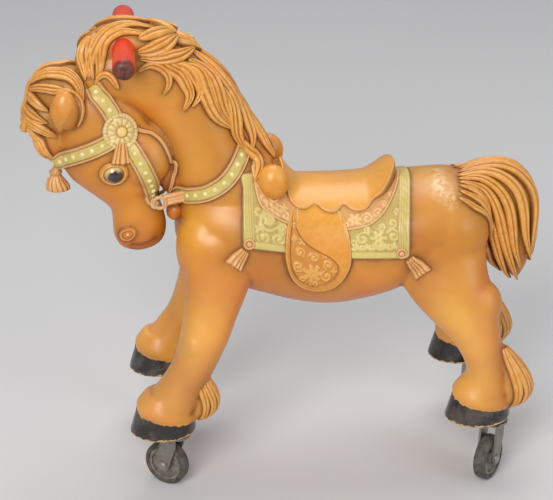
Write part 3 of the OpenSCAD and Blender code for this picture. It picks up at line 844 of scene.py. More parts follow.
def flap_surface(along_back, down_side, inset):
    inner = inside_by(along_back, down_side, carved_edge)
    relief = carving(along_back, down_side, flap_leaves) * (inner > 1.0)
    tuck = np.clip((down_side - 58) / 14, 0, 1)
    floor = 3.4 + 1.6 * tuck - 1.9 * np.clip((inner + 0.2) / 1.2, 0, 1)
    height = (raised(inset, 1.0, 2.2) * floor + 1.0 * bump_at(inset, 1.9, 1.0) + 1.9 * relief + 0.9
        * bump_at(inner, -0.9, 0.9) * (inset > 2))
    groove = (0.9 * bump_at(inset, 0.0, 0.9) + 0.35 * bump_at(inset, 3.6, 0.6) + 0.8 * bump_at(inner, 0.6,
        0.8) + 0.20 * (inner > 1.2) * np.clip(1 - relief * 2.2, 0, 1))
    paint = blend(blend((0.66, 0.285, 0.028), ORANGE, np.clip((down_side - 60) / 90, 0, 0.30)),
        (0.74, 0.40, 0.10), 0.6 * relief + 0.6 * bump_at(inset, 1.9, 1.1))
    return height, paint, groove


lay("saddle_flap", flap_edge, flap_surface, 1.0, material=tan_plastic)

seat_edge = closed_spline(girth([(-4, -15), (-3, 5), (-1, 18), (3, 28), (6, 34), (12, 39), (19, 41),
    (26, 40.2), (32.5, 36.5), (35.5, 36.8), (40, 41), (47, 44.4), (54, 45.2), (60, 43.6),
                                 (65.5, 38.6), (68, 38.8), (73, 42.6), (80, 44.9), (88, 44.7), (95, 41.5),
    (100, 36), (105, 33), (112, 30), (119, 24), (125, 16), (129, 8), (131, 0), (132, -15), (60, -18)]), 4)


def seat_surface(along_back, down_side, inset):
    rise = np.clip((along_back - 92) / 38, 0, 1)
    rise = rise * rise * (3 - 2 * rise)
    cantle = 14.5 * rise * np.clip(1.05 - (down_side / 62) ** 2 * 0.65, 0.1, 1)
    front = 4 * np.clip((8 - along_back) / 12, 0, 1)
    height = raised(inset, 1.0, 2.6) * (6.4 + cantle + front) + 0.7 * bump_at(inset, 2.0, 1.0)
    groove = 0.95 * bump_at(inset, 0.1, 0.8) + 0.28 * bump_at(inset, 3.6, 0.7)
    paint = blend(blend((0.70, 0.315, 0.045), TAN, 0.45 * rise + 0.4 * np.clip(down_side / 70, 0, 1)),
        PINK, 0.8 * bump_at(inset, 1.8, 1.4))
    return height, paint, groove


lay("seat", seat_edge, seat_surface, 1.15, over_top=True, material=tan_plastic)

# ---------------------------------------------------------------------------
# Medallions, knobs and tassels. The rosette that joins the bridle straps, the
# bit buttons, blanket corner buttons and pommel knobs are turned shapes in the
# relief; tassels hang below the rosette, the browband and the blanket corners.


def medallion(centre, radius, profile, squash=1.0, around=96, rows=30, turn=0.0):
    middle, out = nearest(np.array(centre) * 0.001)
    near = [nearest(middle + np.array(d) * 0.006)[1] for d in ((1, 0, 0), (-1, 0, 0), (0, 0, 1),
        (0, 0, -1), (0, 0, 0))]
    out = unit(np.sum(near, axis=0))
    side = unit(np.cross(np.array([0.0, 0, 1]), out))
    up = np.cross(out, side)
    side, up = side * math.cos(turn) + up * math.sin(turn), up * math.cos(turn) - side * math.sin(turn)
    rs = np.linspace(0, 1, rows) ** 0.9
    verts, paint, groove = [], [], []
    ring = np.linspace(0, 2 * math.pi, around, endpoint=False)
    for r in rs[1:]:
        for a in ring:
            spot = middle + (side * math.cos(a) + up * math.sin(a) * squash) * r * radius * 0.001
            hit = tree.ray_cast(Vector(spot + out * 0.02), Vector(-out), 0.04)[0]
            verts.append(spot if hit is None else np.array(hit))
    verts = np.array(verts).reshape(rows - 1, around, 3)
    depth = (verts - middle) @ out
    for _ in range(3):
        depth = (np.roll(depth, 1, 1) + 2 * depth + np.roll(depth, -1, 1)) / 4
        depth[1:-1] = (depth[:-2] + 2 * depth[1:-1] + depth[2:]) / 4
    rr, aa = np.meshgrid(rs[1:] * radius, ring, indexing="ij")
    height, paint, groove = profile(rr, aa)
    flat = verts - out * ((verts - middle) @ out)[..., None]
    verts = flat + out * (depth + height * 0.001)[..., None]
    top = np.mean(verts[0], axis=0)
    verts = np.concatenate([top[None], verts.reshape(-1, 3)])
    faces = [(0, 1 + j, 1 + (j + 1) % around) for j in range(around)]
    for i in range(rows - 2):
        for j in range(around):
            k = (j + 1) % around
            a = 1 + i * around
            faces.append((a + j, a + around + j, a + around + k, a + k))
    glaze_and_shade_lines.append(verts[-around * 3:-around * 2])
    paint = np.concatenate([paint[:1].mean(1), paint.reshape(-1, 3)])
    groove = np.concatenate([[groove[0].mean()], groove.reshape(-1)])
    return verts, faces, paint, groove


def small(name, items, material, both=True):
    pieces, paints, grooves = [], [], []
    for v, f, p, g in items:
        for flip in (False, True) if both else (False,):
            pieces.append(mirror_part(v, f) if flip else (v, f))
            paints.append(np.broadcast_to(p, (len(v), 3)))
            grooves.append(np.broadcast_to(g, (len(v),)))
    verts, faces = join(pieces)
    obj = make(name, verts, faces, material)
    put(obj.data, "paint", np.concatenate(paints))
    put(obj.data, "groove", np.clip(np.concatenate(grooves), 0, 1))
    put(obj.data, "rubbed", np.full(len(verts), 0.2))
    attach(obj, "body")
    return obj


def fall(r, edge, value):
    return np.where(r < edge, value, value - (r - edge) * 2.2)


def rosette(r, a):
    button = 4.6 + 2.6 * np.sqrt(np.clip(1 - (r / 6.2) ** 2, 0, 1))
    lobes = np.abs(np.cos(6 * a)) ** 0.5
    leaf = 2.6 + 1.7 * lobes * np.sin(np.clip((r - 6.4) / 9.2, 0, 1) * math.pi) ** 0.6
    beads = 2.4 + 1.7 * np.abs(np.sin(14 * a)) ** 0.6 * np.sqrt(np.clip(1 - ((r - 18.2) / 2.2) ** 2, 0, 1))
    height = np.where(r < 6.2, button, np.where(r < 15.6, leaf, beads))
    height = fall(r, 20.4, height)
    groove = (0.8 * bump_at(r, 6.5, 0.8) + 0.6 * bump_at(r, 15.8, 0.7) + 0.45 * (1 - lobes)
        * ((r > 7) & (r < 15)) + 0.5 * (r > 16) * (1 - np.abs(np.sin(14 * a)) ** 0.6))
    paint = blend(blend(GREEN, CREAM, 0.55 + 0 * r), (0.72, 0.50, 0.13), (r < 6.2) * 1.0)
    return height, paint, groove + 0.9 * (r > 20.4)


def corner_button(r, a):
    height = fall(r, 6.6, 2.4 + 1.3 * bump_at(r, 5.2, 1.0) + 2.2 * np.sqrt(np.clip(1 - (r / 3.2) ** 2, 0, 1)))
    return (height, np.broadcast_to(np.array(PINK), r.shape + (3,)), 0.8 * bump_at(r, 3.5, 0.6) + 0.8
        * (r > 6.6))


def bit_button(r, a):
    height = fall(r, 8.0, 3.0 + 1.3 * bump_at(r, 6.6, 1.1) + 2.8 * np.sqrt(np.clip(1 - (r / 4.6) ** 2, 0, 1)))
    return (height, np.broadcast_to(np.array((0.62, 0.47, 0.36)), r.shape + (3,)),
        0.8 * bump_at(r, 5.0, 0.6) + 0.8 * (r > 8))


def eyelid(r, a):
    height = 3.6 * bump_at(r, 13.0, 1.8) + 0.9 * bump_at(r, 15.4, 1.4) - 1.6 * (r < 10.4)
    paint = blend(TAN, SEAT, 0.6 * bump_at(r, 13.0, 2.0))
    return (np.where(r > 16.4, -1.0 - (r - 16.4), height), paint, 0.9 * bump_at(r, 10.9, 0.9) + 0.35
        * bump_at(r, 14.6, 0.5))


def nostril(r, a):
    height = 3.4 * bump_at(r, 8.0, 1.7) - 0.8 * (r < 6.0) + 1.0 * bump_at(r, 0.0, 3.0)
    height = np.where(r > 10.6, -1.0 - (r - 10.6), height)
    paint = blend(blend(TAN, SEAT, 0.6 * bump_at(r, 8.2, 1.6)), (0.84, 0.56, 0.42), (r < 5.8) * 1.0)
    return height, paint, 0.95 * bump_at(r, 6.4, 0.8) + 0.4 * bump_at(r, 10.2, 0.8)


small("bridle_rosettes", [medallion((-182, -40, 443), 21.6, rosette), medallion((-147, -16, 343), 8.8,
    bit_button)], painted_relief)
small("blanket_buttons", [medallion((-43, -72, 313), 7.4, corner_button), medallion((130, -74, 294), 7.4,
    corner_button)], painted_relief)
small("eyelids_and_nostrils", [medallion((-192, -45, 392), 17.2, eyelid, 0.96), medallion((-180, -26, 309),
    11.6, nostril, 0.74, turn=0.35)], tan_plastic)


def lump(centre, radii, tilt=0.0, taper=0.0, colour=ORANGE):
    verts, faces = ball((ahead_of_frame, 0, -sole_height), radii, 40, 28)
    z = verts[:, 2] / (radii[2] * 0.001)
    verts[:, :2] *= (1 - taper * np.clip(-z, 0, 1) ** 1.5)[:, None]
    c, s = math.cos(tilt), math.sin(tilt)
    x, zz = verts[:, 0].copy(), verts[:, 2].copy()
    verts[:, 0], verts[:, 2] = c * x - s * zz, s * x + c * zz
    verts += np.array(centre) * 0.001
    # Each lump is painted paler toward its top as a painted highlight, and its glaze amount rises toward the
    # bottom as painted shade.
    shade = blend(np.array(colour), np.array(SEAT), np.clip(z * 0.5, 0, 0.35))
    return verts, faces, shade, 0.45 * np.clip(-z - 0.35, 0, 1)


small("pommel_knobs", [lump((-13, -45, 376), (17.5, 15, 21), 0.18, 0.12, (0.62, 0.235, 0.014))], tan_plastic)
small("ears", [lump((-245, -42, 470), (14.5, 12, 25), -0.20, 0.72, (0.60, 0.225, 0.014))], tan_plastic)
small("collar_bell", [lump((-125, 0, 324), (10, 10, 11), 0, 0, ORANGE), lump((-124, 0, 336), (6, 6, 5), 0,
    0, PINK)], tan_plastic, both=False)


def tassel(points, width, thick, strands, colour, snap=True):
    v, f, g = lock(points, width, thick, strands, (1.2, 3.0), flare=True, samples=22, snap=snap)
    return v, f, np.array(colour), g * 0.9


small("tassels", [
    tassel([(-48, -74, 306), (-55, -75, 297), (-63, -74, 287)], 25, 6.5, 5, PINK),
    tassel([(139, -74, 287), (147, -75, 277), (156, -74, 266)], 25, 6.5, 5, PINK),
    tassel([(-182, -44, 431), (-183, -46, 420), (-184, -47, 407)], 23, 7.0, 5, PINK)], tan_plastic)


def round_tassel(x, y, z, rows, ridges):
    turn = np.linspace(0, 2 * math.pi, 72, endpoint=False)
    verts = [np.stack([x + drift + r * np.cos(turn) * (1 + rib * np.abs(np.sin(ridges * turn / 2)) ** 0.7),
        y + r * 0.85 * np.sin(turn) * (1 + rib * np.abs(np.sin(ridges * turn / 2)) ** 0.7),
                       np.full(72, z + high)], 1) * 0.001 for high, r, rib, drift in rows]
    faces = [(i * 72 + j, (i + 1) * 72 + j, (i + 1) * 72 + (j + 1) % 72, i * 72 + (j + 1) % 72) for i
        in range(len(rows) - 1) for j in range(72)]
    faces += [tuple(range(72)), tuple((len(rows) - 1) * 72 + j for j in range(71, -1, -1))]
    dark = np.concatenate([np.full(72, 0.3) if rib == 0 else 0.8
        * np.clip(1 - 1.8 * np.abs(np.sin(ridges * turn / 2)) ** 0.7, 0, 1) for _, _, rib, _ in rows])
    return np.concatenate(verts), faces, np.array(PINK), dark


small("forehead_tassel", [round_tassel(-259, 0, 356, [(0, 3, 0, 2), (0.4, 9, 0.16, 2), (2, 12.4, 0.16, 2),
    (7, 11.6, 0.16, 1), (13, 9.2, 0.14, 0), (18, 6.4, 0.1, 0), (20, 5.6, 0, 0),
                                                      (21, 7.2, 0, 0), (24, 7.4, 0, 0), (26, 5.5, 0, 1),
    (29, 5.2, 0, 3), (34, 4, 0, 8)], 12)], tan_plastic, both=False)

# ---------------------------------------------------------------------------
# Bridle and breast collar. The straps are painted relief with a rolled edge on
# both sides. The domed studs are set along the middle at an even pitch.


def strap(points, width, thick=2.0, roll=1.5, per_span=10, plain=False):
    path = spline(points, per_span) * 0.001
    found = [nearest(p) for p in path]
    path = smooth_rows([f[0] for f in found], 3)
    out = unit(smooth_rows([f[1] for f in found], 6))
    along = unit(np.gradient(path, axis=0))
    across = unit(np.cross(along, out))
    u = np.linspace(-1, 1, 25)
    mm = u * width / 2
    edge = width / 2 - np.abs(mm)
    high = raised(edge, thick, 1.0) + roll * bump_at(edge, 1.7, 1.0)
    high[0] = high[-1] = -1.6
    verts = []
    for p, n, s in zip(path, out, across):
        for m, h in zip(mm, high):
            spot = p + s * m * 0.001
            hit = tree.ray_cast(Vector(spot + n * 0.014), Vector(-n), 0.03)[0]
            base = spot if hit is None else np.array(hit)
            verts.append(spot + n * (np.dot(base - spot, n) + h * 0.001))
    count_u = len(u)
    faces = [(i * count_u + j, i * count_u + j + 1, (i + 1) * count_u + j + 1, (i + 1) * count_u + j) for i
        in range(len(path) - 1) for j in range(count_u - 1)]
    test = np.array(verts)[list(faces[len(faces) // 2])]
    if np.dot(np.cross(test[1] - test[0], test[2] - test[0]), out[len(path) // 2]) < 0:
        faces = [tuple(reversed(f)) for f in faces]
    paint = blend(np.broadcast_to(np.array(PINK if plain else GREEN), (count_u, 3)), PINK,
        1.3 * bump_at(edge, 1.4, 1.5))
    groove = np.clip(0.85 * bump_at(edge, 3.6, 0.8) + 0.9 * (edge < 0.5) + 0.12, 0, 1)
    paint, groove = np.tile(paint, (len(path), 1)), np.tile(groove, len(path))
    glaze_and_shade_lines.append(np.concatenate([path + across * width * 0.0005, path - across * width * 0.0005]))
    length = np.concatenate([[0], np.cumsum(np.linalg.norm(np.diff(path, axis=0), axis=1))])
    spots = np.arange(0.008, length[-1] - 0.004, 0.0128)
    stud_at = np.stack([np.interp(spots, length, path[:, k]) for k in range(3)], 1)
    stud_out = np.stack([np.interp(spots, length, out[:, k]) for k in range(3)], 1)
    return (np.array(verts), faces, paint, groove), (stud_at + stud_out * thick * 0.00085, stud_out)


brow = [(-184, -44, 438), (-198, -45, 431), (-212, -44, 424), (-226, -39, 417), (-240, -30, 409),
    (-252, -15, 400), (-257, 0, 396)]
straps = [
    strap(brow + [(x, -y, z) for x, y, z in reversed(brow[:-1])], 20),
    strap([(-184, -40, 449), (-191, -36, 463), (-198, -33, 474), (-205, -31, 484), (-211, -28, 494)], 22),
    strap([(-178, -41, 434), (-174, -42, 427), (-165, -46, 413), (-157, -46, 396), (-151, -38, 376),
    (-147, -25, 358), (-146, -17, 348)], 21),
    strap([(-44, -24, 409), (-49, -30, 402), (-58, -42, 389), (-70, -47, 377), (-88, -46, 366),
    (-105, -35, 359), (-114, -18, 354), (-118, 0, 352)], 20),
    strap([(-163, -32, 442), (-148, -30, 437), (-134, -32, 424), (-127, -32, 409), (-124, -26, 395),
    (-124, -20, 381), (-127, -17, 367), (-130, -15, 354)], 5.5, 1.0, 1.4, plain=True)]
straps.append(strap([(-29, -18, 401), (-31, -32, 391), (-28, -47, 377), (-22, -58, 362), (-12, -66, 349)],
    9, 1.8, 1.6, plain=True))
brow_strap, side_straps = straps[0], straps[1:]
small("browband", [brow_strap[0]], painted_relief, both=False)
small("side_straps_and_collar", [s[0] for s in side_straps], painted_relief)
stud_at = [brow_strap[1][0]]
stud_out = [brow_strap[1][1]]
for item in side_straps[:3]:
    for flip in (1, -1):
        stud_at.append(item[1][0] * np.array([1, flip, 1]))
        stud_out.append(item[1][1] * np.array([1, flip, 1]))
stud_at, stud_out = np.concatenate(stud_at), np.concatenate(stud_out)
stud_mesh = bpy.data.meshes.new("strap_studs")
stud_mesh.from_pydata(stud_at.tolist(), [], [])
way = stud_mesh.attributes.new("outward", "FLOAT_VECTOR", "POINT")
way.data.foreach_set("vector", unit(stud_out).astype(np.float32).ravel())
studs = bpy.data.objects.new("strap_studs", stud_mesh)
bpy.context.scene.collection.objects.link(studs)
stud_paint, stud_tree, stud_shader, stud_relief = new_material("stud paint", coat=0.3, bump=0.1)
stud_old = use(stud_tree, wear, Colour=(0.68, 0.56, 0.20, 1), Roughness=0.36, Rubbed=0.5,
    Pale=(0.86, 0.74, 0.46, 1), Mottle=0.3, Scratches=0.2)
stud_tree.links.new(stud_old.outputs["Colour"], stud_shader.inputs["Base Color"])
stud_tree.links.new(stud_old.outputs["Roughness"], stud_shader.inputs["Roughness"])
stud_tree.links.new(stud_old.outputs["Height"], stud_relief.inputs["Height"])

repeat = bpy.data.node_groups.new("domed studs", "GeometryNodeTree")
repeat.interface.new_socket("Geometry", in_out="INPUT", socket_type="NodeSocketGeometry")
for label, kind, value in (("Radius", "NodeSocketFloat", 0.003), ("Dome", "NodeSocketFloat", 0.7)):
    repeat.interface.new_socket(label, in_out="INPUT", socket_type=kind).default_value = value
repeat.interface.new_socket("Material", in_out="INPUT", socket_type="NodeSocketMaterial")
repeat.interface.new_socket("Geometry", in_out="OUTPUT", socket_type="NodeSocketGeometry")
repeat_in, repeat_out = repeat.nodes.new("NodeGroupInput"), repeat.nodes.new("NodeGroupOutput")
dome = add(repeat, "GeometryNodeMeshUVSphere", [(repeat_in.outputs["Radius"], "Radius")], in_Segments=20,
    in_Rings=12)
squat = add(repeat, "ShaderNodeCombineXYZ", [(repeat_in.outputs["Dome"], "Z")], in_X=1.0, in_Y=1.0)
flat = add(repeat, "GeometryNodeTransform", [(dome.outputs["Mesh"], "Geometry"), (squat.outputs[0], "Scale")])
aim_at = add(repeat, "GeometryNodeInputNamedAttribute", data_type="FLOAT_VECTOR", in_Name="outward")
face_out = add(repeat, "FunctionNodeAlignRotationToVector", [(aim_at.outputs["Attribute"], "Vector")],
    axis="Z")
spread = add(repeat, "GeometryNodeInstanceOnPoints", [(repeat_in.outputs["Geometry"], "Points"),
    (flat.outputs["Geometry"], "Instance"), (face_out.outputs["Rotation"], "Rotation")])
real = add(repeat, "GeometryNodeRealizeInstances", [(spread.outputs["Instances"], "Geometry")])
coated = add(repeat, "GeometryNodeSetMaterial", [(real.outputs["Geometry"], "Geometry"),
    (repeat_in.outputs["Material"], "Material")])
repeat.links.new(coated.outputs["Geometry"], repeat_out.inputs["Geometry"])
setting = studs.modifiers.new("domed studs", "NODES")
setting.node_group = repeat
for item in repeat.interface.items_tree:
    if item.item_type == "SOCKET" and item.in_out == "INPUT" and item.name != "Geometry":
        setting[item.identifier] = {"Radius": 0.0031, "Dome": 0.72, "Material": stud_paint}[item.name]
baked(studs)
studs.data.polygons.foreach_set("use_smooth", [True] * len(studs.data.polygons))
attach(studs, "body")

# ---------------------------------------------------------------------------
# Eyes. Each is a smooth domed ball moulded in the lid. The pupil is painted black and the rest brown, paling
# to cream toward the top, which is partly cream paint and partly a painted highlight, under clear gloss.
eye_balls, eye_paint = [], []
for flip in (1, -1):
    middle, out = nearest(np.array((-0.192, -0.045, 0.392)))
    out = unit(out)
    v, f = ball((ahead_of_frame, 0, -sole_height), (12.6, 12.6, 12.6), 56, 36)
    v = v + middle - out * 0.0062
    look = unit(out + np.array([0.16, 0, -0.20]))
    near_iris = unit(v - (middle - out * 0.0062)) @ look
    above = unit(v - (middle - out * 0.0062)) @ unit(np.array([-0.35, 0, 1.0]))
    # Cream toward the top: partly eye paint, partly a painted highlight.
    shade = blend(np.array((0.26, 0.125, 0.035)), np.array((0.62, 0.47, 0.20)), np.clip(above * 1.6 + 0.25,
        0, 1))
    shade = blend(shade, np.array((0.060, 0.018, 0.008)), np.clip((near_iris - 0.68) * 12, 0, 1))
    shade = blend(shade, np.array((0.008, 0.004, 0.003)), np.clip((near_iris - 0.84) * 14, 0, 1))
    if flip < 0:
        v, f = mirror_part(v, f)
    eye_balls.append((v, f))
    eye_paint.append(shade)
eye_gloss, eye_tree, eye_shader, _ = new_material("eye paint", coat=1.0)
eye_tree.links.new(attribute(eye_tree, "paint").outputs["Color"], eye_shader.inputs["Base Color"])
eye_shader.inputs["Roughness"].default_value = 0.12
eyes = make("eyes", *join(eye_balls), eye_gloss)
put(eyes.data, "paint", np.concatenate(eye_paint))
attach(eyes, "body")

# ---------------------------------------------------------------------------
# Mouth line. It is a shallow carved line at the corner of the lips and a
# shorter one below, and both show only as glaze that stays in them.
for line in ([(-176, -25, 297), (-168, -27, 295), (-158, -26, 297), (-149, -21, 302)],
        [(-178, -24, 283), (-168, -22, 281)]):
    row = spline(line, 12) * 0.001
    glaze_and_shade_lines.append(np.array([nearest(p)[0] for p in row]))

# ---------------------------------------------------------------------------
# Bit, reins and bell. A moulded ring hangs at the corner of the mouth; two
# short cords run from it to the front of the collar, with a round bell below.


def rod(points, radius, per_span=8, around=14, closed=False):
    path = (closed_spline(points, per_span) if closed else spline(points, per_span)) * 0.001
    n = len(path)
    along = unit(np.roll(path, -1, 0) - np.roll(path, 1, 0)) if closed else unit(np.gradient(path, axis=0))
    side = unit(np.cross(along, np.array([0.12, 0.25, 1.0])))
    up = np.cross(side, along)
    angles = np.linspace(0, 2 * math.pi, around, endpoint=False)
    rows = [path[i] + radius * 0.001 * (np.outer(np.cos(angles), side[i]) + np.outer(np.sin(angles),
        up[i])) for i in range(n)]
    faces = []
    for i in range(n if closed else n - 1):
        for j in range(around):
            k, m = (j + 1) % around, (i + 1) % n
            faces.append((i * around + j, m * around + j, m * around + k, i * around + k))
    if not closed:
        faces += [tuple(range(around)), tuple((n - 1) * around + j for j in range(around - 1, -1, -1))]
    verts = np.concatenate(rows)
    return verts, [tuple(reversed(f)) for f in faces]


ring_points = [(-142 + 7.0 * math.cos(a), -22 - 1.5 * math.sin(a), 345 + 7.5 * math.sin(a)) for a
    in np.linspace(0, 2 * math.pi, 12, endpoint=False)]
bits = []
for v, f in (rod(ring_points, 2.2, closed=True), rod([(-138, -21, 351), (-128, -22, 354), (-117, -24, 357),
        (-105, -26, 361)], 2.8),
             rod([(-137, -20, 342), (-127, -21, 345), (-117, -23, 348), (-104, -25, 350)], 2.8),
             rod([(-134, -18, 346), (-126, -19, 349), (-116, -21, 352), (-104, -23, 355)], 4.6),
             rod([(-124, 0, 338), (-123, -8, 345), (-121, -17, 349)], 2.4)):
    bits.append((v, f, np.array(PINK), np.full(len(v), 0.14)))
small("bit_rings_and_reins", bits, painted_relief)

# ---------------------------------------------------------------------------
# Hooves and worn spots on the shell. The hooves were dipped in black gloss up
# to the ragged coronet; the bottom edge is rubbed back to raw plastic, and the
# croup has pale scuffs where the glaze is worn through.
dip, dip_in, dip_out = new_group(
    "dipped black hoof",
    [("Colour", "NodeSocketColor", (0.6, 0.3, 0.05, 1)), ("Roughness", "NodeSocketFloat", 0.3),
    ("Depth", "NodeSocketFloat", -10.0),
     ("Sole", "NodeSocketFloat", 50.0), ("Scuff", "NodeSocketFloat", 0.0), ("Black", "NodeSocketColor",
    (0.014, 0.011, 0.011, 1)),
     ("Dust", "NodeSocketColor", (0.095, 0.076, 0.062, 1)), ("Raw", "NodeSocketColor",
    (0.62, 0.36, 0.14, 1))],
    [("Colour", "NodeSocketColor"), ("Roughness", "NodeSocketFloat")])
place = add(dip, "ShaderNodeTexCoord")
ragged = add(dip, "ShaderNodeTexNoise", [(place.outputs["Object"], "Vector")], in_Scale=170.0, in_Detail=4.0)
cloudy = add(dip, "ShaderNodeTexNoise", [(place.outputs["Object"], "Vector")], in_Scale=38.0,
    in_Detail=5.0, in_Roughness=0.62)
shift = math_node(dip, "MULTIPLY", math_node(dip, "SUBTRACT", ragged.outputs["Fac"], 0.5), 9.0)
wet = steps(dip, math_node(dip, "ADD", dip_in.outputs["Depth"], shift), -0.2, 0.5)
bare = steps(dip, math_node(dip, "ADD", dip_in.outputs["Sole"], shift), 3.4, 2.6)
dusty = math_node(dip, "MULTIPLY", steps(dip, cloudy.outputs["Fac"], 0.42, 0.66), 0.75)
black = mix_colour(dip, dusty, dip_in.outputs["Black"], dip_in.outputs["Dust"])
worn_patch = math_node(dip, "MULTIPLY", dip_in.outputs["Scuff"], steps(dip, ragged.outputs["Fac"], 0.32,
    0.66), clamp=True)
skin_colour = mix_colour(dip, math_node(dip, "MULTIPLY", worn_patch, 0.85), dip_in.outputs["Colour"],
    (0.80, 0.60, 0.33, 1))
painted = mix_colour(dip, wet, skin_colour, black)
dip.links.new(mix_colour(dip, math_node(dip, "MULTIPLY", bare, wet), painted, dip_in.outputs["Raw"]),
    dip_out.inputs["Colour"])
gloss = math_node(dip, "MULTIPLY_ADD", dusty, 0.35)
gloss.node.inputs[2].default_value = 0.17
blend_rough = add(dip, "ShaderNodeMix", [(wet, 0), (dip_in.outputs["Roughness"], 2), (gloss, 3)])
dip.links.new(blend_rough.outputs[0], dip_out.inputs["Roughness"])

shell_paint, shell_tree, shell_shader, shell_old = plastic("tan shell with black hooves", 0.38, 0.16, 0.45,
    0.85, (0.78, 0.42, 0.14, 1))
hooves = use(shell_tree, dip, Colour=shell_old.outputs["Colour"], Roughness=shell_old.outputs["Roughness"],
             Depth=attribute(shell_tree, "hoof_depth").outputs["Fac"], Sole=attribute(shell_tree,
    "above_sole").outputs["Fac"],
             Scuff=attribute(shell_tree, "scuff").outputs["Fac"])
shell_tree.links.new(hooves.outputs["Colour"], shell_shader.inputs["Base Color"])
shell_tree.links.new(hooves.outputs["Roughness"], shell_shader.inputs["Roughness"])
shell_shader.inputs["Coat Roughness"].default_value = 0.32
shell_old.inputs["Mottle"].default_value = 0.95
shell_tree.nodes["Bump"].inputs["Strength"].default_value = 0.30
body.data.materials.clear()
body.data.materials.append(shell_paint)

# ---------------------------------------------------------------------------
# Hand bar and casters. The bar is a dowel in red gloss paint, worn dark where
# hands hold its ends. The casters are stock ones: tarnished pressed horns over
# ball races, grey plastic wheels and dusty black rubber tyres.
tarnish, tarnish_in, tarnish_out = new_group(
    "tarnish and rust",
    [("Steel", "NodeSocketColor", (0.36, 0.34, 0.31, 1)), ("Rust", "NodeSocketColor",
    (0.11, 0.055, 0.028, 1)),
     ("Amount", "NodeSocketFloat", 0.4), ("Roughness", "NodeSocketFloat", 0.4)],
    [("Colour", "NodeSocketColor"), ("Metallic", "NodeSocketFloat"), ("Roughness", "NodeSocketFloat"),
    ("Height", "NodeSocketFloat")])
place = add(tarnish, "ShaderNodeTexCoord")
spots = add(tarnish, "ShaderNodeTexNoise", [(place.outputs["Object"], "Vector")], in_Scale=120.0,
    in_Detail=6.0, in_Roughness=0.7)
film = add(tarnish, "ShaderNodeTexNoise", [(place.outputs["Object"], "Vector")], in_Scale=45.0, in_Detail=3.0)
rusty = math_node(tarnish, "MULTIPLY", steps(tarnish, spots.outputs["Fac"], 0.50, 0.68),
    tarnish_in.outputs["Amount"], clamp=True)
darker = mix_colour(tarnish, math_node(tarnish, "MULTIPLY", film.outputs["Fac"], 0.6),
    tarnish_in.outputs["Steel"], (0.16, 0.14, 0.12, 1))
tarnish.links.new(mix_colour(tarnish, rusty, darker, tarnish_in.outputs["Rust"]),
    tarnish_out.inputs["Colour"])
tarnish.links.new(math_node(tarnish, "SUBTRACT", 0.9, math_node(tarnish, "MULTIPLY", rusty, 0.8)),
    tarnish_out.inputs["Metallic"])
tarnish.links.new(math_node(tarnish, "ADD", tarnish_in.outputs["Roughness"], math_node(tarnish, "MULTIPLY",
    spots.outputs["Fac"], 0.22)), tarnish_out.inputs["Roughness"])
tarnish.links.new(math_node(tarnish, "ADD", spots.outputs["Fac"], rusty), tarnish_out.inputs["Height"])


def steel(name, colour, amount, roughness):
    mat, tree_of, shader, relief = new_material(name, bump=0.25)
    node = use(tree_of, tarnish, Steel=colour, Amount=amount, Roughness=roughness)
    for label, target in (("Colour", "Base Color"), ("Metallic", "Metallic"), ("Roughness", "Roughness")):
        tree_of.links.new(node.outputs[label], shader.inputs[target])
    tree_of.links.new(node.outputs["Height"], relief.inputs["Height"])
    return mat


def worn_paint(name, colour, pale, roughness, coat, mottle, scratches, rubbed, bump=0.2):
    mat, tree_of, shader, relief = new_material(name, coat=coat, bump=bump)
    node = use(tree_of, wear, Colour=colour, Roughness=roughness, Rubbed=rubbed, Pale=pale, Mottle=mottle,
        Scratches=scratches)
    tree_of.links.new(node.outputs["Colour"], shader.inputs["Base Color"])
    tree_of.links.new(node.outputs["Roughness"], shader.inputs["Roughness"])
    tree_of.links.new(node.outputs["Height"], relief.inputs["Height"])
    return mat, tree_of, node


red_paint, red_tree, red_wear = worn_paint("red bar paint", (0.70, 0.036, 0.010, 1), (0.72, 0.12, 0.05, 1),
    0.36, 0.12, 0.5, 0.35, 0.18)
spot = add(red_tree, "ShaderNodeTexCoord")
split = add(red_tree, "ShaderNodeSeparateXYZ", [(spot.outputs["Object"], "Vector")])
handled = add(red_tree, "ShaderNodeTexNoise", [(spot.outputs["Object"], "Vector")], in_Scale=90.0,
    in_Detail=5.0)
reach = math_node(red_tree, "ADD", math_node(red_tree, "ABSOLUTE", split.outputs["Y"]),
                  math_node(red_tree, "MULTIPLY", math_node(red_tree, "SUBTRACT", handled.outputs["Fac"],
    0.5), 0.016))
grime = steps(red_tree, reach, 0.0790, 0.0905)
red_tree.links.new(mix_colour(red_tree, grime, (0.74, 0.040, 0.009, 1), (0.028, 0.009, 0.006, 1)),
    red_wear.inputs["Colour"])
red_tree.links.new(math_node(red_tree, "ADD", math_node(red_tree, "MULTIPLY", grime, 0.16), 0.34),
    red_wear.inputs["Roughness"])

horn_steel = steel("pressed horn steel", (0.34, 0.32, 0.29, 1), 0.55, 0.34)
plain_steel = steel("dull steel", (0.44, 0.42, 0.39, 1), 0.35, 0.30)
ball_steel = steel("bearing steel", (0.60, 0.59, 0.57, 1), 0.1, 0.14)
wheel_grey, _, _ = worn_paint("grey wheel plastic", (0.155, 0.135, 0.112, 1), (0.34, 0.30, 0.25, 1), 0.48,
    0.0, 0.7, 0.5, 0.45, 0.35)
rubber, _, _ = worn_paint("dusty tyre rubber", (0.040, 0.037, 0.035, 1), (0.17, 0.145, 0.12, 1), 0.62, 0.0,
    0.6, 0.4, 0.55, 0.5)
black_wood, _, _ = worn_paint("black stained wood", (0.022, 0.018, 0.016, 1), (0.12, 0.08, 0.05, 1), 0.55,
    0.0, 0.5, 0.6, 0.4, 0.5)
finishes = {"hand_bar": red_paint, "hoof_plug": black_wood, "socket": plain_steel, "stem": plain_steel,
    "upper_race": horn_steel, "race_balls": ball_steel,
            "horn": horn_steel, "axle": plain_steel, "wheel_core": wheel_grey, "wheel_bush": plain_steel,
    "tyre": rubber}
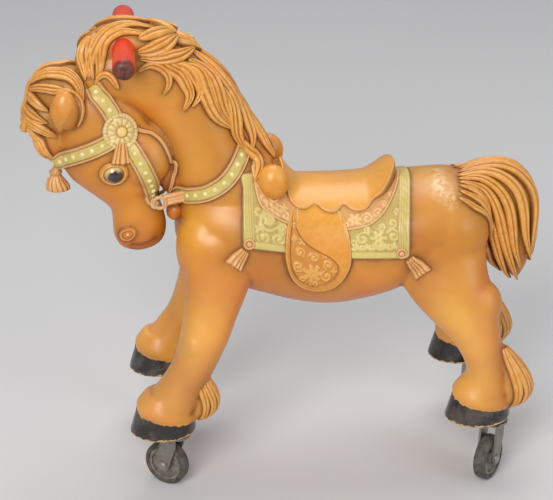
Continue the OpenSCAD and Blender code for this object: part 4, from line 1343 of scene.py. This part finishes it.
for node_name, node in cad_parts.items():
    for start, finish in finishes.items():
        if node_name.startswith(start):
            for holder in node.material_slots:
                holder.material = finish

# ---------------------------------------------------------------------------
# Glaze, paint, painted shade and painted highlight on the bare skin. Brown glaze lies against the foot of
# every raised piece and in the hollows, and wider soft halos round the raised pieces are painted shade.
# Undersides, the lower body and the rear faces of the legs are painted deeper orange as shade, and upward
# faces paler as a highlight; the legs and the cheeks are paler. Hooves are dipped in black up to the coronet
# and rubbed back to raw tan plastic along the bottom edge.
edges = np.zeros((len(body.data.edges), 2), np.int32)
body.data.edges.foreach_get("vertices", edges.ravel())
pull = np.zeros((count, 3))
links = np.zeros(count)
for a, b in ((0, 1), (1, 0)):
    np.add.at(pull, edges[:, a], skin[edges[:, b]])
    np.add.at(links, edges[:, a], 1)
hollow = ((pull / np.maximum(links, 1)[:, None] - skin) * normals).sum(1) / cell
for _ in range(4):
    total = np.zeros(count)
    for a, b in ((0, 1), (1, 0)):
        np.add.at(total, edges[:, a], hollow[edges[:, b]])
    hollow = 0.4 * hollow + 0.6 * total / np.maximum(links, 1)
groove = np.clip((hollow - 0.008) * 14, 0, 0.75)
feet = np.concatenate(glaze_and_shade_lines)
near_line = KDTree(len(feet) * 2)
for i, p in enumerate(feet):
    near_line.insert(p, i)
    near_line.insert((p[0], -p[1], p[2]), i)
near_line.balance()
gap = np.array([near_line.find(v)[2] for v in skin])
# Narrow glaze at the foot of each raised piece, plus two wider soft halos round them that are painted shade.
groove = np.maximum(groove, 0.8 * np.exp(-(gap / 0.0022) ** 2) + 0.26 * np.exp(-(gap / 0.008) ** 2) + 0.14
    * np.exp(-(gap / 0.022) ** 2))
low = np.clip((0.42 - skin[:, 2]) / 0.25, 0, 1)
under = np.clip(-normals[:, 2], 0, 1)
upper = np.clip(normals[:, 2], 0, 1)
tan, deep, pale = np.array(TAN), np.array(ORANGE), np.array(SEAT)
limb = np.exp(-((np.abs(skin[:, 1]) - 0.085) / 0.045) ** 2) * np.clip((0.30 - skin[:, 2]) / 0.1, 0, 1)
# Undersides, and the lower body apart from the legs, are painted deeper orange: painted shade.
paint = tan + (deep - tan) * np.clip(1.1 * under + 0.35 * low * (1 - limb), 0, 1)[:, None]
paint = paint + (pale - paint) * (0.62 * limb)[:, None]
# Faces turned toward the back on the legs and lower body are painted deeper orange: painted shade.
rearward = np.clip(normals[:, 0] * 1.2 + 0.1, 0, 1) * np.clip((0.33 - skin[:, 2]) / 0.08, 0, 1)
paint = paint + (deep - paint) * (0.50 * rearward)[:, None]
cheek = (np.exp(-(((skin[:, 0] + 0.139) / 0.024) ** 2 + ((skin[:, 2] - 0.415) / 0.034) ** 2))
    * (np.abs(skin[:, 1]) > 0.02))
paint = paint + (pale - paint) * (0.55 * cheek)[:, None]
# Upward faces are painted paler: a painted highlight.
paint = paint + (pale - paint) * (0.45 * upper ** 1.5)[:, None]
put(body.data, "paint", paint)
put(body.data, "groove", groove)
put(body.data, "rubbed", np.clip(upper - 0.55, 0, 1) * 0.5)
x, z = skin[:, 0] * 1000, skin[:, 2] * 1000
coronet = np.where(x < 40, 106.5 - 0.21 * (x + 180), 106.5 - 0.21 * (x - 192))
foot = np.where(skin[:, 2] < 0.125, coronet - z, -10)
put(body.data, "hoof_depth", foot)
put(body.data, "above_sole", z - sole_height)
scuffs = np.zeros(count)
for sx, sz, size in ((178, 356, 9), (188, 346, 7), (158, 366, 4)):
    scuffs = np.maximum(scuffs, np.exp(-((x - sx) ** 2 + (z - sz) ** 2) / size ** 2) * (skin[:, 1] < 0.01))
put(body.data, "scuff", scuffs)
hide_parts("body_shell")
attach(body, "body")

# ---------------------------------------------------------------------------
# Studio. A pale floor and three soft lights; the camera stands a few steps
# back at a standing person's height and looks down on the pony.
floor_mesh = bpy.data.meshes.new("floor")
floor_mesh.from_pydata([(-30, -30, 0), (30, -30, 0), (30, 30, 0), (-30, 30, 0)], [], [(0, 1, 2, 3)])
floor = bpy.data.objects.new("floor", floor_mesh)
bpy.context.scene.collection.objects.link(floor)
floor_mat, _, floor_shader, _ = new_material("pale floor")
floor_shader.inputs["Base Color"].default_value = (0.62, 0.62, 0.63, 1)
floor_shader.inputs["Roughness"].default_value = 0.75
floor_mesh.materials.append(floor_mat)

world = bpy.data.worlds.new("soft room")
bpy.context.scene.world = world
world.use_nodes = True
world.node_tree.nodes["Background"].inputs["Color"].default_value = (0.86, 0.88, 0.92, 1)
world.node_tree.nodes["Background"].inputs["Strength"].default_value = 0.42
for label, position, size, power, colour in (
        ("key light", (-0.9, -2.2, 1.9), 1.5, 60, (1.0, 0.97, 0.92)),
        ("fill light", (1.9, -1.6, 1.2), 1.6, 14, (0.97, 0.98, 1.0)),
        ("top light", (0.2, 0.7, 2.3), 1.4, 20, (1.0, 0.98, 0.95))):
    lamp = bpy.data.lights.new(label, "AREA")
    lamp.shape = "DISK"
    lamp.size = size
    lamp.energy = power
    lamp.color = colour
    light = bpy.data.objects.new(label, lamp)
    light.location = position
    light.rotation_euler = (Vector((0, 0, 0.3)) - Vector(position)).to_track_quat("-Z", "Y").to_euler()
    bpy.context.scene.collection.objects.link(light)

lens = bpy.data.cameras.new("camera")
lens.sensor_width = 36
lens.lens = 139.15
camera = bpy.data.objects.new("camera", lens)
aim = Vector((-0.008, 0, 0.2677))
rise, turn = math.radians(26.5), math.radians(-3.5)
back = Vector((math.sin(turn) * math.cos(rise), -math.cos(turn) * math.cos(rise), math.sin(rise)))
camera.location = aim + back * 2.5
facing = (-back).to_track_quat("-Z", "Y")
camera.rotation_euler = facing.to_euler()
camera.rotation_euler.rotate_axis("Z", math.radians(-0.8))
bpy.context.scene.collection.objects.link(camera)
bpy.context.scene.camera = camera
bpy.context.scene.view_settings.view_transform = "Standard"
